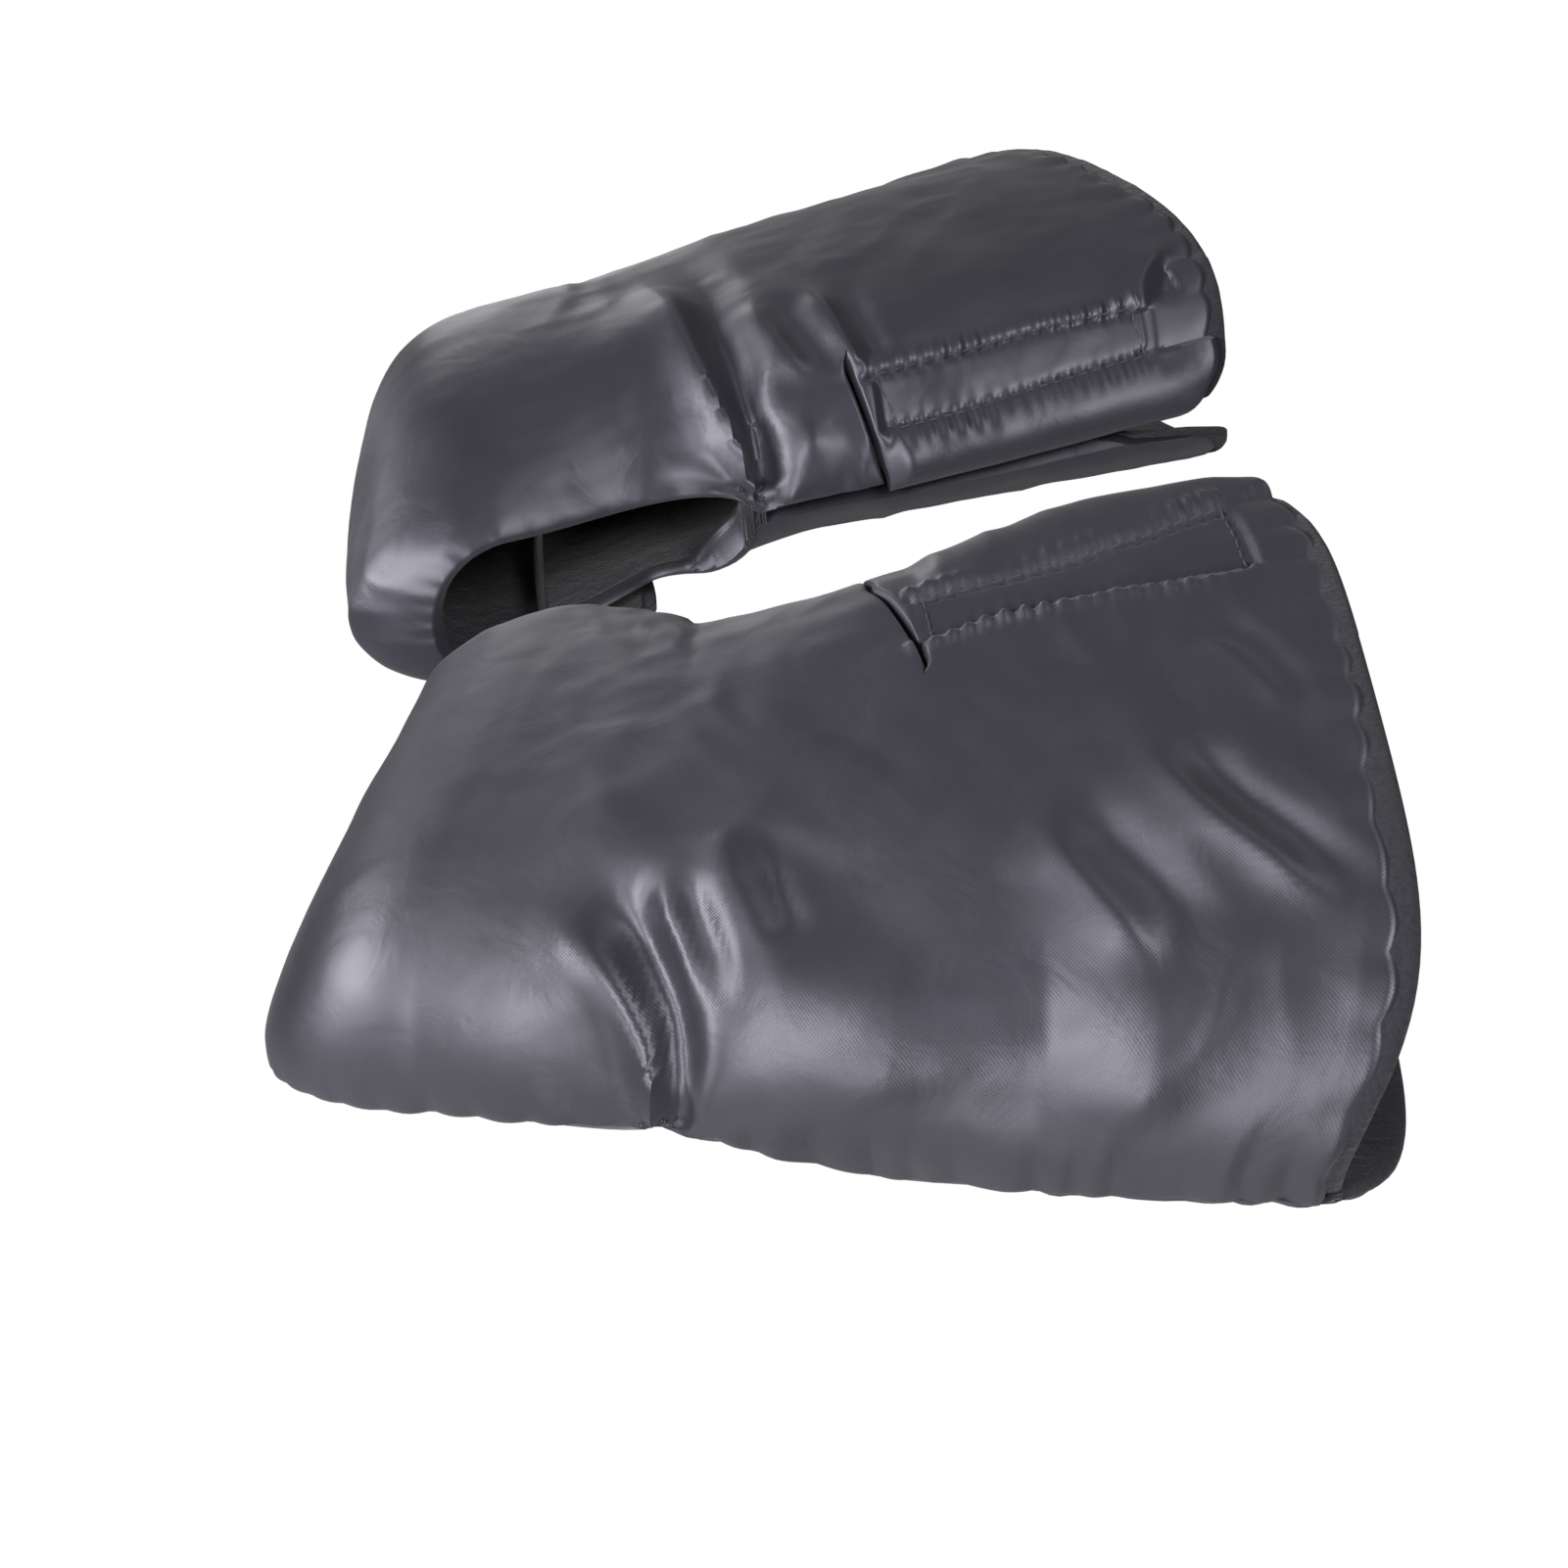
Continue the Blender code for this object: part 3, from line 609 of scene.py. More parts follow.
def gatherRelief(a, b, place, seed):
    # small folds that run out from a tack
    da, db = a - place[0], b - place[1]
    gap = np.hypot(da, db)
    around = np.arctan2(db, da) + 0.5 * softNoise(gap / gather["wander"], 0, seed)
    fade = np.exp(-gap / gather["spread"]) * ease(gap / gather["clear"])
    return gather["height"] * np.sin(gather["spokes"] * around) * fade


def creases(a, b, turn, length, width, seed):
    # crisp ridges of pulled cloth: smooth noise folded on itself, stretched one way
    turn = math.radians(turn)
    bend = 0.9 * softNoise(a / 0.05, b / 0.05, seed + 5)
    x = (a * math.cos(turn) + b * math.sin(turn)) / length + bend
    y = (b * math.cos(turn) - a * math.sin(turn)) / width + bend
    return (1 - 2.2 * np.abs(softNoise(x, y, seed))) * ease(0.5 + 0.9 * softNoise(a / 0.045, b / 0.045, seed + 3))


def slack(a, b, seed):
    # slow unevenness of the wadding, crumpling and pulled creases of the shell, less over the nose
    uneven = sum(height * softNoise(a / wide, b / tall, seed + k) for height, wide, tall, k in lumps)
    uneven = uneven + sum(height * creases(a, b, *shape, seed + k) for height, *shape, k in pulls)
    overBar = noseArc / 2
    return uneven * (0.45 + 0.55 * ease((np.abs(a + overBar) - 0.06) / 0.05))


def stripRelief(name, lay, a, b):
    # the sewn-down rectangle, its stitch grooves, the ruffles they draw up and the rolled free edge
    crown, inner = (nearLine(a, b, flatLine(line))[0] for line in strips[name].values())
    shares = [share for line in strips[name].values() for share, _ in line]
    first, last = alongOf("top", min(shares) + 0.004), alongOf("top", max(shares) + 0.006)
    between = lambda soft: ease((crown + 0.001) / soft) * ease((0.001 - inner) / soft)
    relief = -strip["depth"] * between(0.003) * ease((a - first) / 0.003) * ease((last - a) / 0.003)
    run = ease((a - first + 0.004) / 0.004) * ease((last + 0.004 - a) / 0.004)
    wander = 0.25 * softNoise(a / 0.011, 0, 5)
    uneven = 0.6 + 0.4 * softNoise(a / 0.013, 3, 6)
    patchy = 0.75 + 0.6 * softNoise(a / 0.019, b / 0.02, 31)
    for gap, outside, phase in ((crown, -crown, 0.0), (inner, inner, 0.4)):
        tooth = toothWave(a / strip["period"] + phase + wander)
        relief -= strip["groove"] * run * bell(gap, strip["grooveWidth"]) * (0.55 + 0.45 * tooth)
        ruffle = bell(outside - strip["ruffleAway"], strip["ruffleWidth"]) + 0.12 * bell(outside + 0.003, 0.002)
        relief += strip["ruffle"] * run * ruffle * (1 - 1.5 * tooth * uneven) * patchy
    relief -= strip["endGroove"] * bell(a - last, strip["endWidth"]) * between(0.002)
    toTail = arcOf(lay["tail"]) - b
    rolled = np.clip((inner - 0.002) / np.maximum(toTail + inner - 0.002, 1e-4), 0, 1)
    relief += strip["roll"][name] * np.sin(math.pi * rolled) * (inner > 0.002) * ease((a - first) / 0.008)
    return relief * ((a > alongOf("top", strip["startShare"])) & (b > arcOf(lay["hinge"] - 2)))


def barRelief(a, b):
    # the stitched rectangle of the bar tape, on the lap under the nose
    place = -a - noseArc
    low, high = (share * cuffReach for share in places["barTape"])
    side = float(arcOf(places["barTapeAngle"]))
    lines = np.minimum(np.abs(place - low), np.abs(place - high)) + 10 * np.clip(np.abs(b) - side, 0, None)
    ends = np.abs(np.abs(b) - side) + 10 * (np.clip(low - place, 0, None) + np.clip(place - high, 0, None))
    gap = np.minimum(lines, ends)
    tooth = toothWave(np.where(lines < ends, b, place) / strip["period"])
    groove = -barStrip["groove"] * bell(gap, barStrip["grooveWidth"]) * (0.5 + 0.5 * tooth)
    ruffle = barStrip["ruffle"] * bell(gap - barStrip["ruffleAway"], barStrip["ruffleWidth"])
    return groove + ruffle * (1 - 1.4 * tooth)


def roundOff(distance, radius):
    # how far a face falls towards the middle of its wall beside an edge, as a share of the wall
    near = np.clip(1 - distance / radius, 0, 1)
    return padding["fullFall"] * (1 - np.sqrt(1 - near**2))


def gridPlaces(runs, hems, crowd=grid["crowd"]):
    # even places along each run of (start, end, step), crowded beside the hems
    spots = []
    for start, end, step in runs:
        spots += list(np.linspace(start, end, max(2, int(round((end - start) / step)) + 1)))
    low, high = runs[0][0], runs[-1][1]
    spots += [hem + gap for hem in hems for side in (-1, 1) for gap in np.multiply(side, crowd)]
    kept = []
    for spot in sorted(s for s in spots if low <= s <= high):
        clear = all(abs(spot - hem) > grid["hemClear"] for hem in hems)
        if clear and (not kept or spot - kept[-1] > grid["closest"]):
            kept.append(spot)
    return np.array(sorted(kept + [h for h in hems if low - 1e-9 <= h <= high + 1e-9]))


def nearest(spots, place):
    return int(np.argmin(np.abs(spots - place)))


def cuffPull(lay, angles, zone, satin):
    # how far the cuff's edge is drawn back: the satin stops short of the fleece, scalloped by its hem
    b = arcOf(angles)
    pull = 0 * b
    if satin:
        pull += padding["satinShort"] * (0.75 + 0.25 * softNoise(b / 0.03, 0, lay["seed"]))
        pull -= padding["scallop"] * puckerWave(b, puckers["cuff"][1], 2)
    if zone == "top":
        corner = padding["cornerRound"]
        gap = np.clip(arcOf(lay["tail"]) - b, 0, corner)
        return pull + corner - np.sqrt(corner**2 - (corner - gap) ** 2)
    return pull + lay["lipPull"] * ease((angles - lay["lipAngle"]) / 14)


def puffHeight(lay, along, angles, zone):
    height = 0 * angles
    run = -along - noseArc if zone == "under" else along
    for place, spread, angle, width, lift in lay["underPuffs" if zone == "under" else "puffs"]:
        height = height + lift * np.exp(-(((run - place) / spread) ** 2) - ((angles - angle) / width) ** 2)
    return height


def makeSheetGrid(lay, rows, angles, satin, most=math.inf, lapped=False):
    # the high and low faces of a panel's wall, before relief, with its flat coordinates
    angle = np.radians(angles)
    narrow = ease((angles - lay["hinge"] - 1) / 6)
    gap = places["slotGap"] / 2 / cuffReach
    offset, perDegree, middle, limit = lay["slotSlant"]
    slant = lambda turned: offset + perDegree * (np.clip(turned, None, limit) - middle)
    topSlant = slant(angles) * ease((angles - lay["hinge"] + 6) / 10)
    underSlant = slant(180 - angles) * ease((angles - 91) / 6)
    cross = []
    for zone, share in rows:
        place, beside = share + 0 * angle, share - places["slot"]
        if zone == "top":
            shift = np.clip(beside / gap, -1, 1) * 0.7 * gap * (1 - narrow) * bell(max(abs(beside) - gap, 0), 0.02)
            place = place - shift + topSlant * bell(beside, 0.10)
        if zone == "under":
            place = place + underSlant * bell(beside, 0.10)
        if zone != "nose":
            pull = cuffPull(lay, angles, zone, satin) / cuffReach
            place = place - pull * np.clip((share - 0.7) / 0.3, 0, 1) ** 2
        full = padThickness(angle, place, zone, most)
        deep = lapDepth(lay, angle, place) if lapped else 0
        deep = deep - puffHeight(lay, alongOf(zone, place), angles, zone)
        faces = (sheetPoint(lay, zone, place, angle, depth) for depth in (deep, deep + full))
        cross.append((*faces, alongOf(zone, place), full))
    high, low, along, thick = (np.array(column) for column in zip(*cross))
    high, low = toWorld(lay, high), toWorld(lay, low)
    length = np.linalg.norm(low - high, axis=-1, keepdims=True)
    around = arcOf(angles) + 0 * along
    return {"a": along, "b": around, "flat": np.stack([along, around], axis=-1), "thick": thick,
            "high": high, "low": low, "unit": (low - high) / length, "length": length}


def closedMesh(name, outer, inner, cells, flat, material):
    # a closed solid between two like grids, over the cells that are kept
    rows, cols = outer.shape[:2]
    shift = rows * cols
    index = np.arange(shift).reshape(rows, cols)
    i, j = np.nonzero(cells)
    corners = np.stack([index[i, j], index[i + 1, j], index[i + 1, j + 1], index[i, j + 1]], axis=1)
    faces = [corners, corners[:, ::-1] + shift]
    kept = np.zeros((rows + 1, cols + 1), bool)
    kept[1:rows, 1:cols] = cells
    for side, (di, dj) in enumerate(((0, -1), (1, 0), (0, 1), (-1, 0))):
        isOpen = ~kept[i + 1 + di, j + 1 + dj]
        first, second = corners[isOpen, side], corners[isOpen, (side + 1) % 4]
        faces.append(np.stack([second, first, first + shift, second + shift], axis=1))
    faces = np.concatenate(faces)
    points = np.concatenate([outer.reshape(-1, 3), inner.reshape(-1, 3)])
    used, remap = np.unique(faces, return_inverse=True)
    faces, points = remap.reshape(faces.shape), points[used]
    a, b, c, d = (points[faces[:, k]] for k in range(4))
    if (np.einsum("ij,ij->i", a, np.cross(b, c)) + np.einsum("ij,ij->i", a, np.cross(c, d))).sum() < 0:
        faces = faces[:, ::-1]
    mesh = newMesh(name, points.tolist(), faces.tolist(), material)
    flatPoints = np.concatenate([flat.reshape(-1, 2), flat.reshape(-1, 2)])[used]
    loops = np.empty(len(mesh.loops), int)
    mesh.loops.foreach_get("vertex_index", loops)
    mesh.uv_layers.new(name="clothUv").data.foreach_set("uv", flatPoints[loops].astype(np.float32).ravel())
    mesh.set_sharp_from_angle(angle=math.radians(55))
    return addObject(name, mesh)


def wrapGrid(lay, satin):
    # the one sheet from the cuff over the nose and under it: top panel, closure flap and bar flap
    coarse = 1.0 if satin else grid["coarser"]
    slot, gap = places["slot"] * cuffReach, places["slotGap"] / 2
    front, back, lapEnd = slot - gap, slot + gap, places["lapEnd"] * cuffReach
    start, edge = outerSeam, innerSeam
    hinge, tail = (float(arcOf(lay[key])) for key in ("hinge", "tail"))
    step = {key: grid[key] * coarse for key in ("sleeve", "flap", "nose", "round")}
    flapStart = slot - grid["flapMargin"]
    topRuns = [(0, flapStart, step["sleeve"]), (flapStart, cuffReach, step["flap"])]
    topRows = gridPlaces(topRuns, (front, back, cuffReach))[::-1]
    hingePlace = places["noseHinge"] * noseArc
    noseRows = gridPlaces([(grid["sleeve"], noseArc, step["nose"])], (hingePlace,), (grid["nose"],))
    lapRows = gridPlaces([(grid["nose"], lapEnd, step["nose"])], (lapEnd,))
    rows = [("top", place / cuffReach) for place in topRows] + [("nose", place / noseArc) for place in noseRows]
    rows += [("under", place / cuffReach) for place in lapRows]
    nearHinge = hinge - grid["roundMargin"]
    runs = [(start, nearHinge, step["round"]), (nearHinge, tail, step["flap"])]
    if edge > tail:
        runs.append((tail, edge, step["sleeve"]))
    spots = gridPlaces(runs, sorted({start, hinge, tail, edge}))
    hingeCol, edgeCol, tailCol = (nearest(spots, spot) for spot in (hinge, edge, tail))
    backRow, frontRow = nearest(topRows, back), nearest(topRows, front)
    hingeRow = len(topRows) + nearest(noseRows, hingePlace)
    cells = {part: np.zeros((len(rows) - 1, len(spots) - 1), bool) for part in ("top", "closure_flap", "bar_flap")}
    cells["top"][:frontRow, :hingeCol] = True
    cells["top"][frontRow:hingeRow, :edgeCol] = True
    cells["closure_flap"][:backRow, hingeCol:tailCol] = True
    cells["bar_flap"][hingeRow:, :edgeCol] = True
    # rounding of every free edge and seam
    a = np.array([alongOf(zone, share) for zone, share in rows])[:, None] + 0 * spots
    b = spots + 0 * a
    isTop = np.array([zone == "top" for zone, _ in rows])[:, None] & (b > -1)
    ahead = isTop & (a <= slot)
    hem, seam = padding["hemRound"], padding["seamRound"]
    cuff = np.where(isTop, cuffReach - a, 1.0)
    cuffFall = roundOff(cuff, hem * 0.8) * satin
    innerLip, outerLip = (np.where(isTop & (a > tack * cuffReach), seam, hem) for tack in lay["tack"])
    outerFall = roundOff(b - start, outerLip)
    innerFall = np.where(b <= edge + 1e-6, roundOff(edge - b, innerLip), 0)
    opened = ease((b - hinge) / 0.006)
    slotFall = np.where(ahead, roundOff(front - a, hem * 0.3), 0) * opened
    flapFall = np.where(isTop, roundOff(a - back, hem * 0.3), 0) * opened
    tailFall = roundOff(np.abs(tail - b), hem * 0.8)
    lapFall = roundOff(np.abs(-noseArc - lapEnd - a), hem)
    falls = {
        "top": np.maximum.reduce([cuffFall, outerFall, np.where(ahead | ~isTop, innerFall, 0), slotFall]),
        "closure_flap": np.maximum.reduce([cuffFall, flapFall, tailFall]),
        "bar_flap": np.maximum.reduce([outerFall, innerFall, lapFall]),
    }
    # the lining stops short of the edges, apart from the cuff
    inset = padding["liningInset"]
    clear = (b - start > inset) & ((edge - b > inset) | (isTop & (a > slot)))
    keep = {
        "top": clear & ~(ahead & (front - a < inset) & (b > hinge)),
        "closure_flap": (a - back > inset) & (tail - b > inset),
        "bar_flap": clear & (a + noseArc + lapEnd > inset),
    }
    angles = angleOf(spots)
    sheets = {"full": makeSheetGrid(lay, rows, angles, satin),
              "flap": makeSheetGrid(lay, rows, angles, satin, most=padding["lap"])}
    return {"sheets": sheets, "cells": cells, "falls": falls, "keep": keep, "cuff": cuff, "isTop": isTop}


def wrapRelief(name, lay, wrap):
    a, b = wrap["sheets"]["full"]["a"], wrap["sheets"]["full"]["b"]
    relief = slack(a, b, lay["seed"])
    for fold in topFolds[name]:
        relief += foldRelief(a, b, *fold)
    for share, angle, wide, tall, height in topDents[name]:
        gap = ((a - alongOf("top", share)) / wide) ** 2 + ((b - arcOf(angle)) / tall) ** 2
        relief += height * np.exp(-gap)
    relief += stripRelief(name, lay, a, b) + barRelief(a, b)
    # puckers at the cuff, along the seams and round the bar holes
    pastSlot = wrap["isTop"] & (a > places["slot"] * cuffReach)
    relief += hemPuckers("cuff", b, wrap["cuff"]) + hemPuckers("outerSeam", a, b - outerSeam)
    relief += hemPuckers("innerSeam", a, b - innerSeam) * ~pastSlot
    relief += gatherRelief(a, b, (lay["tack"][0] * cuffReach, innerSeam), 3)
    return relief + gatherRelief(a, b, (lay["tack"][1] * cuffReach, outerSeam), 4)


def underGrid(lay, satin):
    # the under panel, with its tongue inside the closure flap and its lap inside the bar flap
    coarse = 1.0 if satin else grid["underCoarser"]
    lapStart, slot = places["lapStart"] * cuffReach, places["slot"] * cuffReach
    start, edge = outerSeam, innerSeam
    tongue = float(arcOf(180 - lay["hinge"] - places["tongueAngle"]))
    rowPlaces = gridPlaces([(lapStart, cuffReach, grid["under"] * coarse)], (lapStart, slot, cuffReach))
    spots = gridPlaces([(start, tongue, grid["underRound"] * coarse)], (start, edge, tongue))
    angles = angleOf(spots)
    sheet = makeSheetGrid(lay, [("under", place / cuffReach) for place in rowPlaces], angles, satin, lapped=True)
    cells = np.ones((len(rowPlaces) - 1, len(spots) - 1), bool)
    cells[: nearest(rowPlaces, slot), nearest(spots, edge) :] = False
    place, b = rowPlaces[:, None] + 0 * sheet["b"], sheet["b"]
    cuff = cuffReach - place
    hem, seam = padding["hemRound"], padding["seamRound"]
    fall = np.maximum.reduce([
        roundOff(cuff, hem * 0.8) * satin,
        roundOff(b - start, np.where(place > lay["tack"][1] * cuffReach, seam, hem)),
        np.where((place < slot) & (b <= edge + 1e-6), roundOff(edge - b, hem), 0),
        np.where(b > edge, roundOff(np.abs(place - slot), hem), 0),
        roundOff(tongue - b, hem),
        roundOff(place - lapStart, hem),
    ])
    inset = padding["liningInset"]
    keep = (b - start > inset) & (place - lapStart > inset) & (tongue - b > inset)
    keep &= (place >= slot + inset) | (edge - b > inset)
    relief = slack(-sheet["a"] - noseArc, b, lay["seed"] + 20)
    relief += hemPuckers("underCuff", b, cuff) + hemPuckers("outerSeam", place, b - start)
    relief += gatherRelief(place, b, (lay["tack"][1] * cuffReach, start), 4)
    lap = lapDepth(lay, np.radians(angles)[None, :], (rowPlaces / cuffReach)[:, None])
    relief *= ease((0.006 - lap) / 0.004)  # flat where a flap covers it
    return {"sheets": {"full": sheet}, "cells": {"under": cells}, "falls": {"under": fall}, "keep": {"under": keep},
            "cuff": cuff, "relief": relief}


def satinFaces(sheet, fall, relief):
    # the outer and inner faces of a padded panel, rounded at its edges and lifted by the relief
    unit, wall = sheet["unit"], sheet["length"] - padding["lining"] - 0.0002
    quiet = 1 - 0.6 * fall / padding["fullFall"]
    lift = np.maximum(relief * quiet, -0.62 * sheet["thick"])[..., None]
    outer = sheet["high"] + unit * (wall * fall[..., None] - lift)
    return outer, sheet["high"] + unit * wall * (1 - fall[..., None])


def fleeceFaces(sheet, cuff):
    # the lining's two faces, with the roll that stands past the satin at the cuff
    unit, length, lining = sheet["unit"], sheet["length"], padding["lining"]
    roll = ease((pile["roll"] - cuff) / pile["rollEase"])[..., None]
    fuzz = pile["fuzz"] * softNoise(sheet["a"] / pile["fuzzSize"], sheet["b"] / pile["fuzzSize"], 21)[..., None]
    outer = sheet["low"] - unit * (lining + roll * (pile["full"] * length - lining) + fuzz * roll)
    inner = sheet["low"] + unit * fuzz
    fall = roundOff(cuff, pile["hemRound"])[..., None]
    return outer + (inner - outer) * fall, inner + (outer - inner) * fall


def declareCloth(node):
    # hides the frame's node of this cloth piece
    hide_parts(node)


# How far past its hinge line each flap's hinge run reaches, in metres
bends = {"closure_flap": 0.014, "bar_flap": 0.016}


def hingeRun(lay, flap):
    # two points: the last of a flap's hinge line, and a step past it
    step = bends[flap]
    if flap == "closure_flap":
        shares, hinge = np.linspace(places["slot"], 1, 9), lay["hinge"]
        turned = np.radians((hinge, angleOf(arcOf(hinge) + step)))
        line, past = (sheetPoint(lay, "top", shares, turn + 0 * shares, 0.0) for turn in turned)
    else:
        turned, hinge = np.radians((-80, -50, -25, 0, 25, 50, 80)), places["noseHinge"]
        line, past = (sheetPoint(lay, "nose", share, turned, 0.0) for share in (hinge, hinge + step / noseArc))
    line, past = toWorld(lay, line), toWorld(lay, past)
    towards = (past - line).mean(axis=0)
    towards = towards / np.linalg.norm(towards)
    middle = line.mean(axis=0)
    start = middle + towards * ((line @ towards).max() - middle @ towards + 0.0005)
    return start, start + towards * step


def followHinge(piece, joint, run):
    if run is None:
        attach(piece, joint)
    else:
        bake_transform(piece)


# Threads and tapes: everything sewn is set on the finished panels
sewing = {"stitchStep": 0.0044, "stitchLength": 0.0031, "stitchThick": 0.00034, "tackThreads": 9,
          "tackStep": 0.00085, "tackReach": 0.0046, "tackThick": 0.0004, "tackUneven": (0.0001, 0.0004),
          "tackSunk": 0.0004, "tackRaised": 0.0005}
tapes = {"base": 0.0006, "loopDepth": 0.0034, "hookRadius": 0.00026, "loopRadius": 0.00030,
         "threadRadius": 0.00007, "hookSweep": 4.2, "loopSweep": 3.3, "closureGrid": (50, 13), "barGrid": (14, 56)}


def repeatTree(name, inputs, buildShape):
    # sets one small shape on every point of a mesh, its Z along the point's "facing"
    inputs = {"Geometry": "Geometry", **inputs, "Finish": "Material"}
    tree, start, end = newTree("GeometryNodeTree", name, inputs, {"Geometry": "Geometry"})
    facing = nodeOut(tree, "GeometryNodeInputNamedAttribute", {"Name": "facing"}, data_type="FLOAT_VECTOR")
    place = nodeOut(tree, "GeometryNodeInstanceOnPoints", {
        "Points": start.outputs["Geometry"], "Instance": buildShape(tree, start),
        "Rotation": nodeOut(tree, "FunctionNodeAlignRotationToVector", {"Vector": facing}, axis="Z")})
    chance = {"Seed": start.outputs["Seed"], "Min": -math.pi, "Max": math.pi}
    chance = nodeOut(tree, "FunctionNodeRandomValue", chance, data_type="FLOAT")
    turn = nodeOut(tree, "ShaderNodeCombineXYZ", {"Z": chance})
    spin = nodeOut(tree, "GeometryNodeRotateInstances", {"Instances": place, "Rotation": turn})
    real = nodeOut(tree, "GeometryNodeRealizeInstances", {"Geometry": spin})
    smooth = nodeOut(tree, "GeometryNodeSetShadeSmooth", {"Geometry": real})
    finish = nodeOut(tree, "GeometryNodeSetMaterial", {"Geometry": smooth, "Material": start.outputs["Finish"]})
    setInputs(tree, end, {"Geometry": finish})
    return tree


def stitchShape(tree, start):
    thick, length = start.outputs["Thickness"], start.outputs["Length"]
    ball = nodeOut(tree, "GeometryNodeMeshUVSphere", {"Segments": 7, "Rings": 6, "Radius": 0.5})
    size = nodeOut(tree, "ShaderNodeCombineXYZ", {"X": thick, "Y": thick, "Z": length})
    return nodeOut(tree, "GeometryNodeTransform", {"Geometry": ball, "Scale": size})


def loopShape(tree, start):
    arc = {"Resolution": 6, "Radius": start.outputs["Radius"], "Sweep Angle": start.outputs["Sweep"]}
    thread = {"Resolution": 3, "Radius": start.outputs["Thread Radius"]}
    tube = {"Curve": nodeOut(tree, "GeometryNodeCurveArc", arc),
            "Profile Curve": nodeOut(tree, "GeometryNodeCurvePrimitiveCircle", thread)}
    stand = {"Geometry": nodeOut(tree, "GeometryNodeCurveToMesh", tube), "Rotation": (math.pi / 2, 0, 0)}
    return nodeOut(tree, "GeometryNodeTransform", stand)


stitchTree = repeatTree("sewnStitches", {"Length": 0.003, "Thickness": 0.0004, "Seed": 1}, stitchShape)
loopTree = repeatTree("tapeLoops", {"Radius": 0.0003, "Thread Radius": 0.00007, "Sweep": 3.3, "Seed": 1}, loopShape)


def plant(name, tree, points, facings, **settings):
    # runs a repeat tree on loose points and keeps the result as a plain mesh
    mesh = bpy.data.meshes.new(name)
    mesh.from_pydata(np.asarray(points).tolist(), [], [])
    facing = mesh.attributes.new("facing", "FLOAT_VECTOR", "POINT")
    facing.data.foreach_set("vector", np.asarray(facings, np.float32).ravel())
    obj = addObject(name, mesh)
    repeat = obj.modifiers.new("repeat", "NODES")
    repeat.node_group = tree
    for item in tree.interface.items_tree:
        title = item.name.replace(" ", "")
        if item.in_out == "INPUT" and title in settings:
            repeat[item.identifier] = settings[title]
    ready = bpy.context.evaluated_depsgraph_get()
    made = bpy.data.meshes.new_from_object(obj.evaluated_get(ready), depsgraph=ready)
    obj.modifiers.clear()
    obj.data = made
    return obj


def surfaceOf(*objects):
    points, faces = [], []
    for obj in objects:
        shift = len(points)
        points += [v.co.copy() for v in obj.data.vertices]
        faces += [[shift + i for i in face.vertices] for face in obj.data.polygons]
    return BVHTree.FromPolygons(points, faces)


def onMuff(lay, zone, share, angle, deep=0.0):
    # world points at a depth below the puffed surface, from shares and degrees
    share, angle = np.asarray(share, float), np.asarray(angle, float)
    deep = deep - puffHeight(lay, alongOf(zone, share), angle, zone)
    return toWorld(lay, sheetPoint(lay, zone, share, np.radians(angle), deep))


def sewStitches(name, panel, guides, body, run):
    # stitches end to end along guide lines, laid on the panel below them
    surface = surfaceOf(panel)
    half, raised = sewing["stitchLength"] / 2, sewing["stitchThick"] * 0.35
    points, facings = [], []
    for guide in guides:
        walked = np.concatenate([[0], np.cumsum(np.linalg.norm(np.diff(guide, axis=0), axis=1))])
        count = max(2, int(round(walked[-1] / sewing["stitchStep"])))
        for spot in (np.arange(count) + 0.5) / count * walked[-1]:
            ends = []
            for place in (spot - half, spot + half):
                at = Vector([float(np.interp(place, walked, guide[:, k])) for k in range(3)])
                where, normal, _, _ = surface.find_nearest(at)
                ends.append(where + normal * raised)
            points.append((ends[0] + ends[1]) / 2)
            facings.append((ends[1] - ends[0]).normalized())
    stitches = plant(name, stitchTree, points, facings, Length=sewing["stitchLength"] * 1.05,
                     Thickness=2 * sewing["stitchThick"], Seed=3, Finish=materials["thread"])
    followHinge(stitches, body, run)
    print("   ", name, len(points), "stitches")


def makeTape(name, lay, zone, share, angle, kind, body, run):
    # a woven strip with its hooks or loops, between a flap and what it closes on
    if kind == "hook":
        high = padThickness(np.radians(angle), share, zone, padding["lap"]) + padding["layerGap"]
    else:
        high = padding["lap"] + tapes["loopDepth"] - tapes["base"] + 0 * share
    outer, inner = (onMuff(lay, zone, share, angle, deep) for deep in (high, high + tapes["base"]))
    flat = np.stack([alongOf(zone, share), arcOf(angle)], axis=-1)
    cells = np.ones((share.shape[0] - 1, share.shape[1] - 1), bool)
    tape = closedMesh(f"{name}_strip", outer, inner, cells, flat, materials["hook_and_loop"])
    inward = (inner - outer) / np.linalg.norm(inner - outer, axis=-1, keepdims=True)
    face, towards = (inner, inward) if kind == "hook" else (outer, -inward)
    face, towards = (array[1:-1, 1:-1].reshape(-1, 3) for array in (face, towards))
    pile = plant(f"{name}_pile", loopTree, face, towards, Radius=tapes[f"{kind}Radius"], Sweep=tapes[f"{kind}Sweep"],
                 ThreadRadius=tapes["threadRadius"], Seed=lay["seed"], Finish=materials["hook_and_loop"])
    bm = bmesh.new()
    bm.from_mesh(tape.data)
    bm.from_mesh(pile.data)
    bm.to_mesh(tape.data)
    bm.free()
    bpy.data.objects.remove(pile)
    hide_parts(name)
    followHinge(tape, body, run)


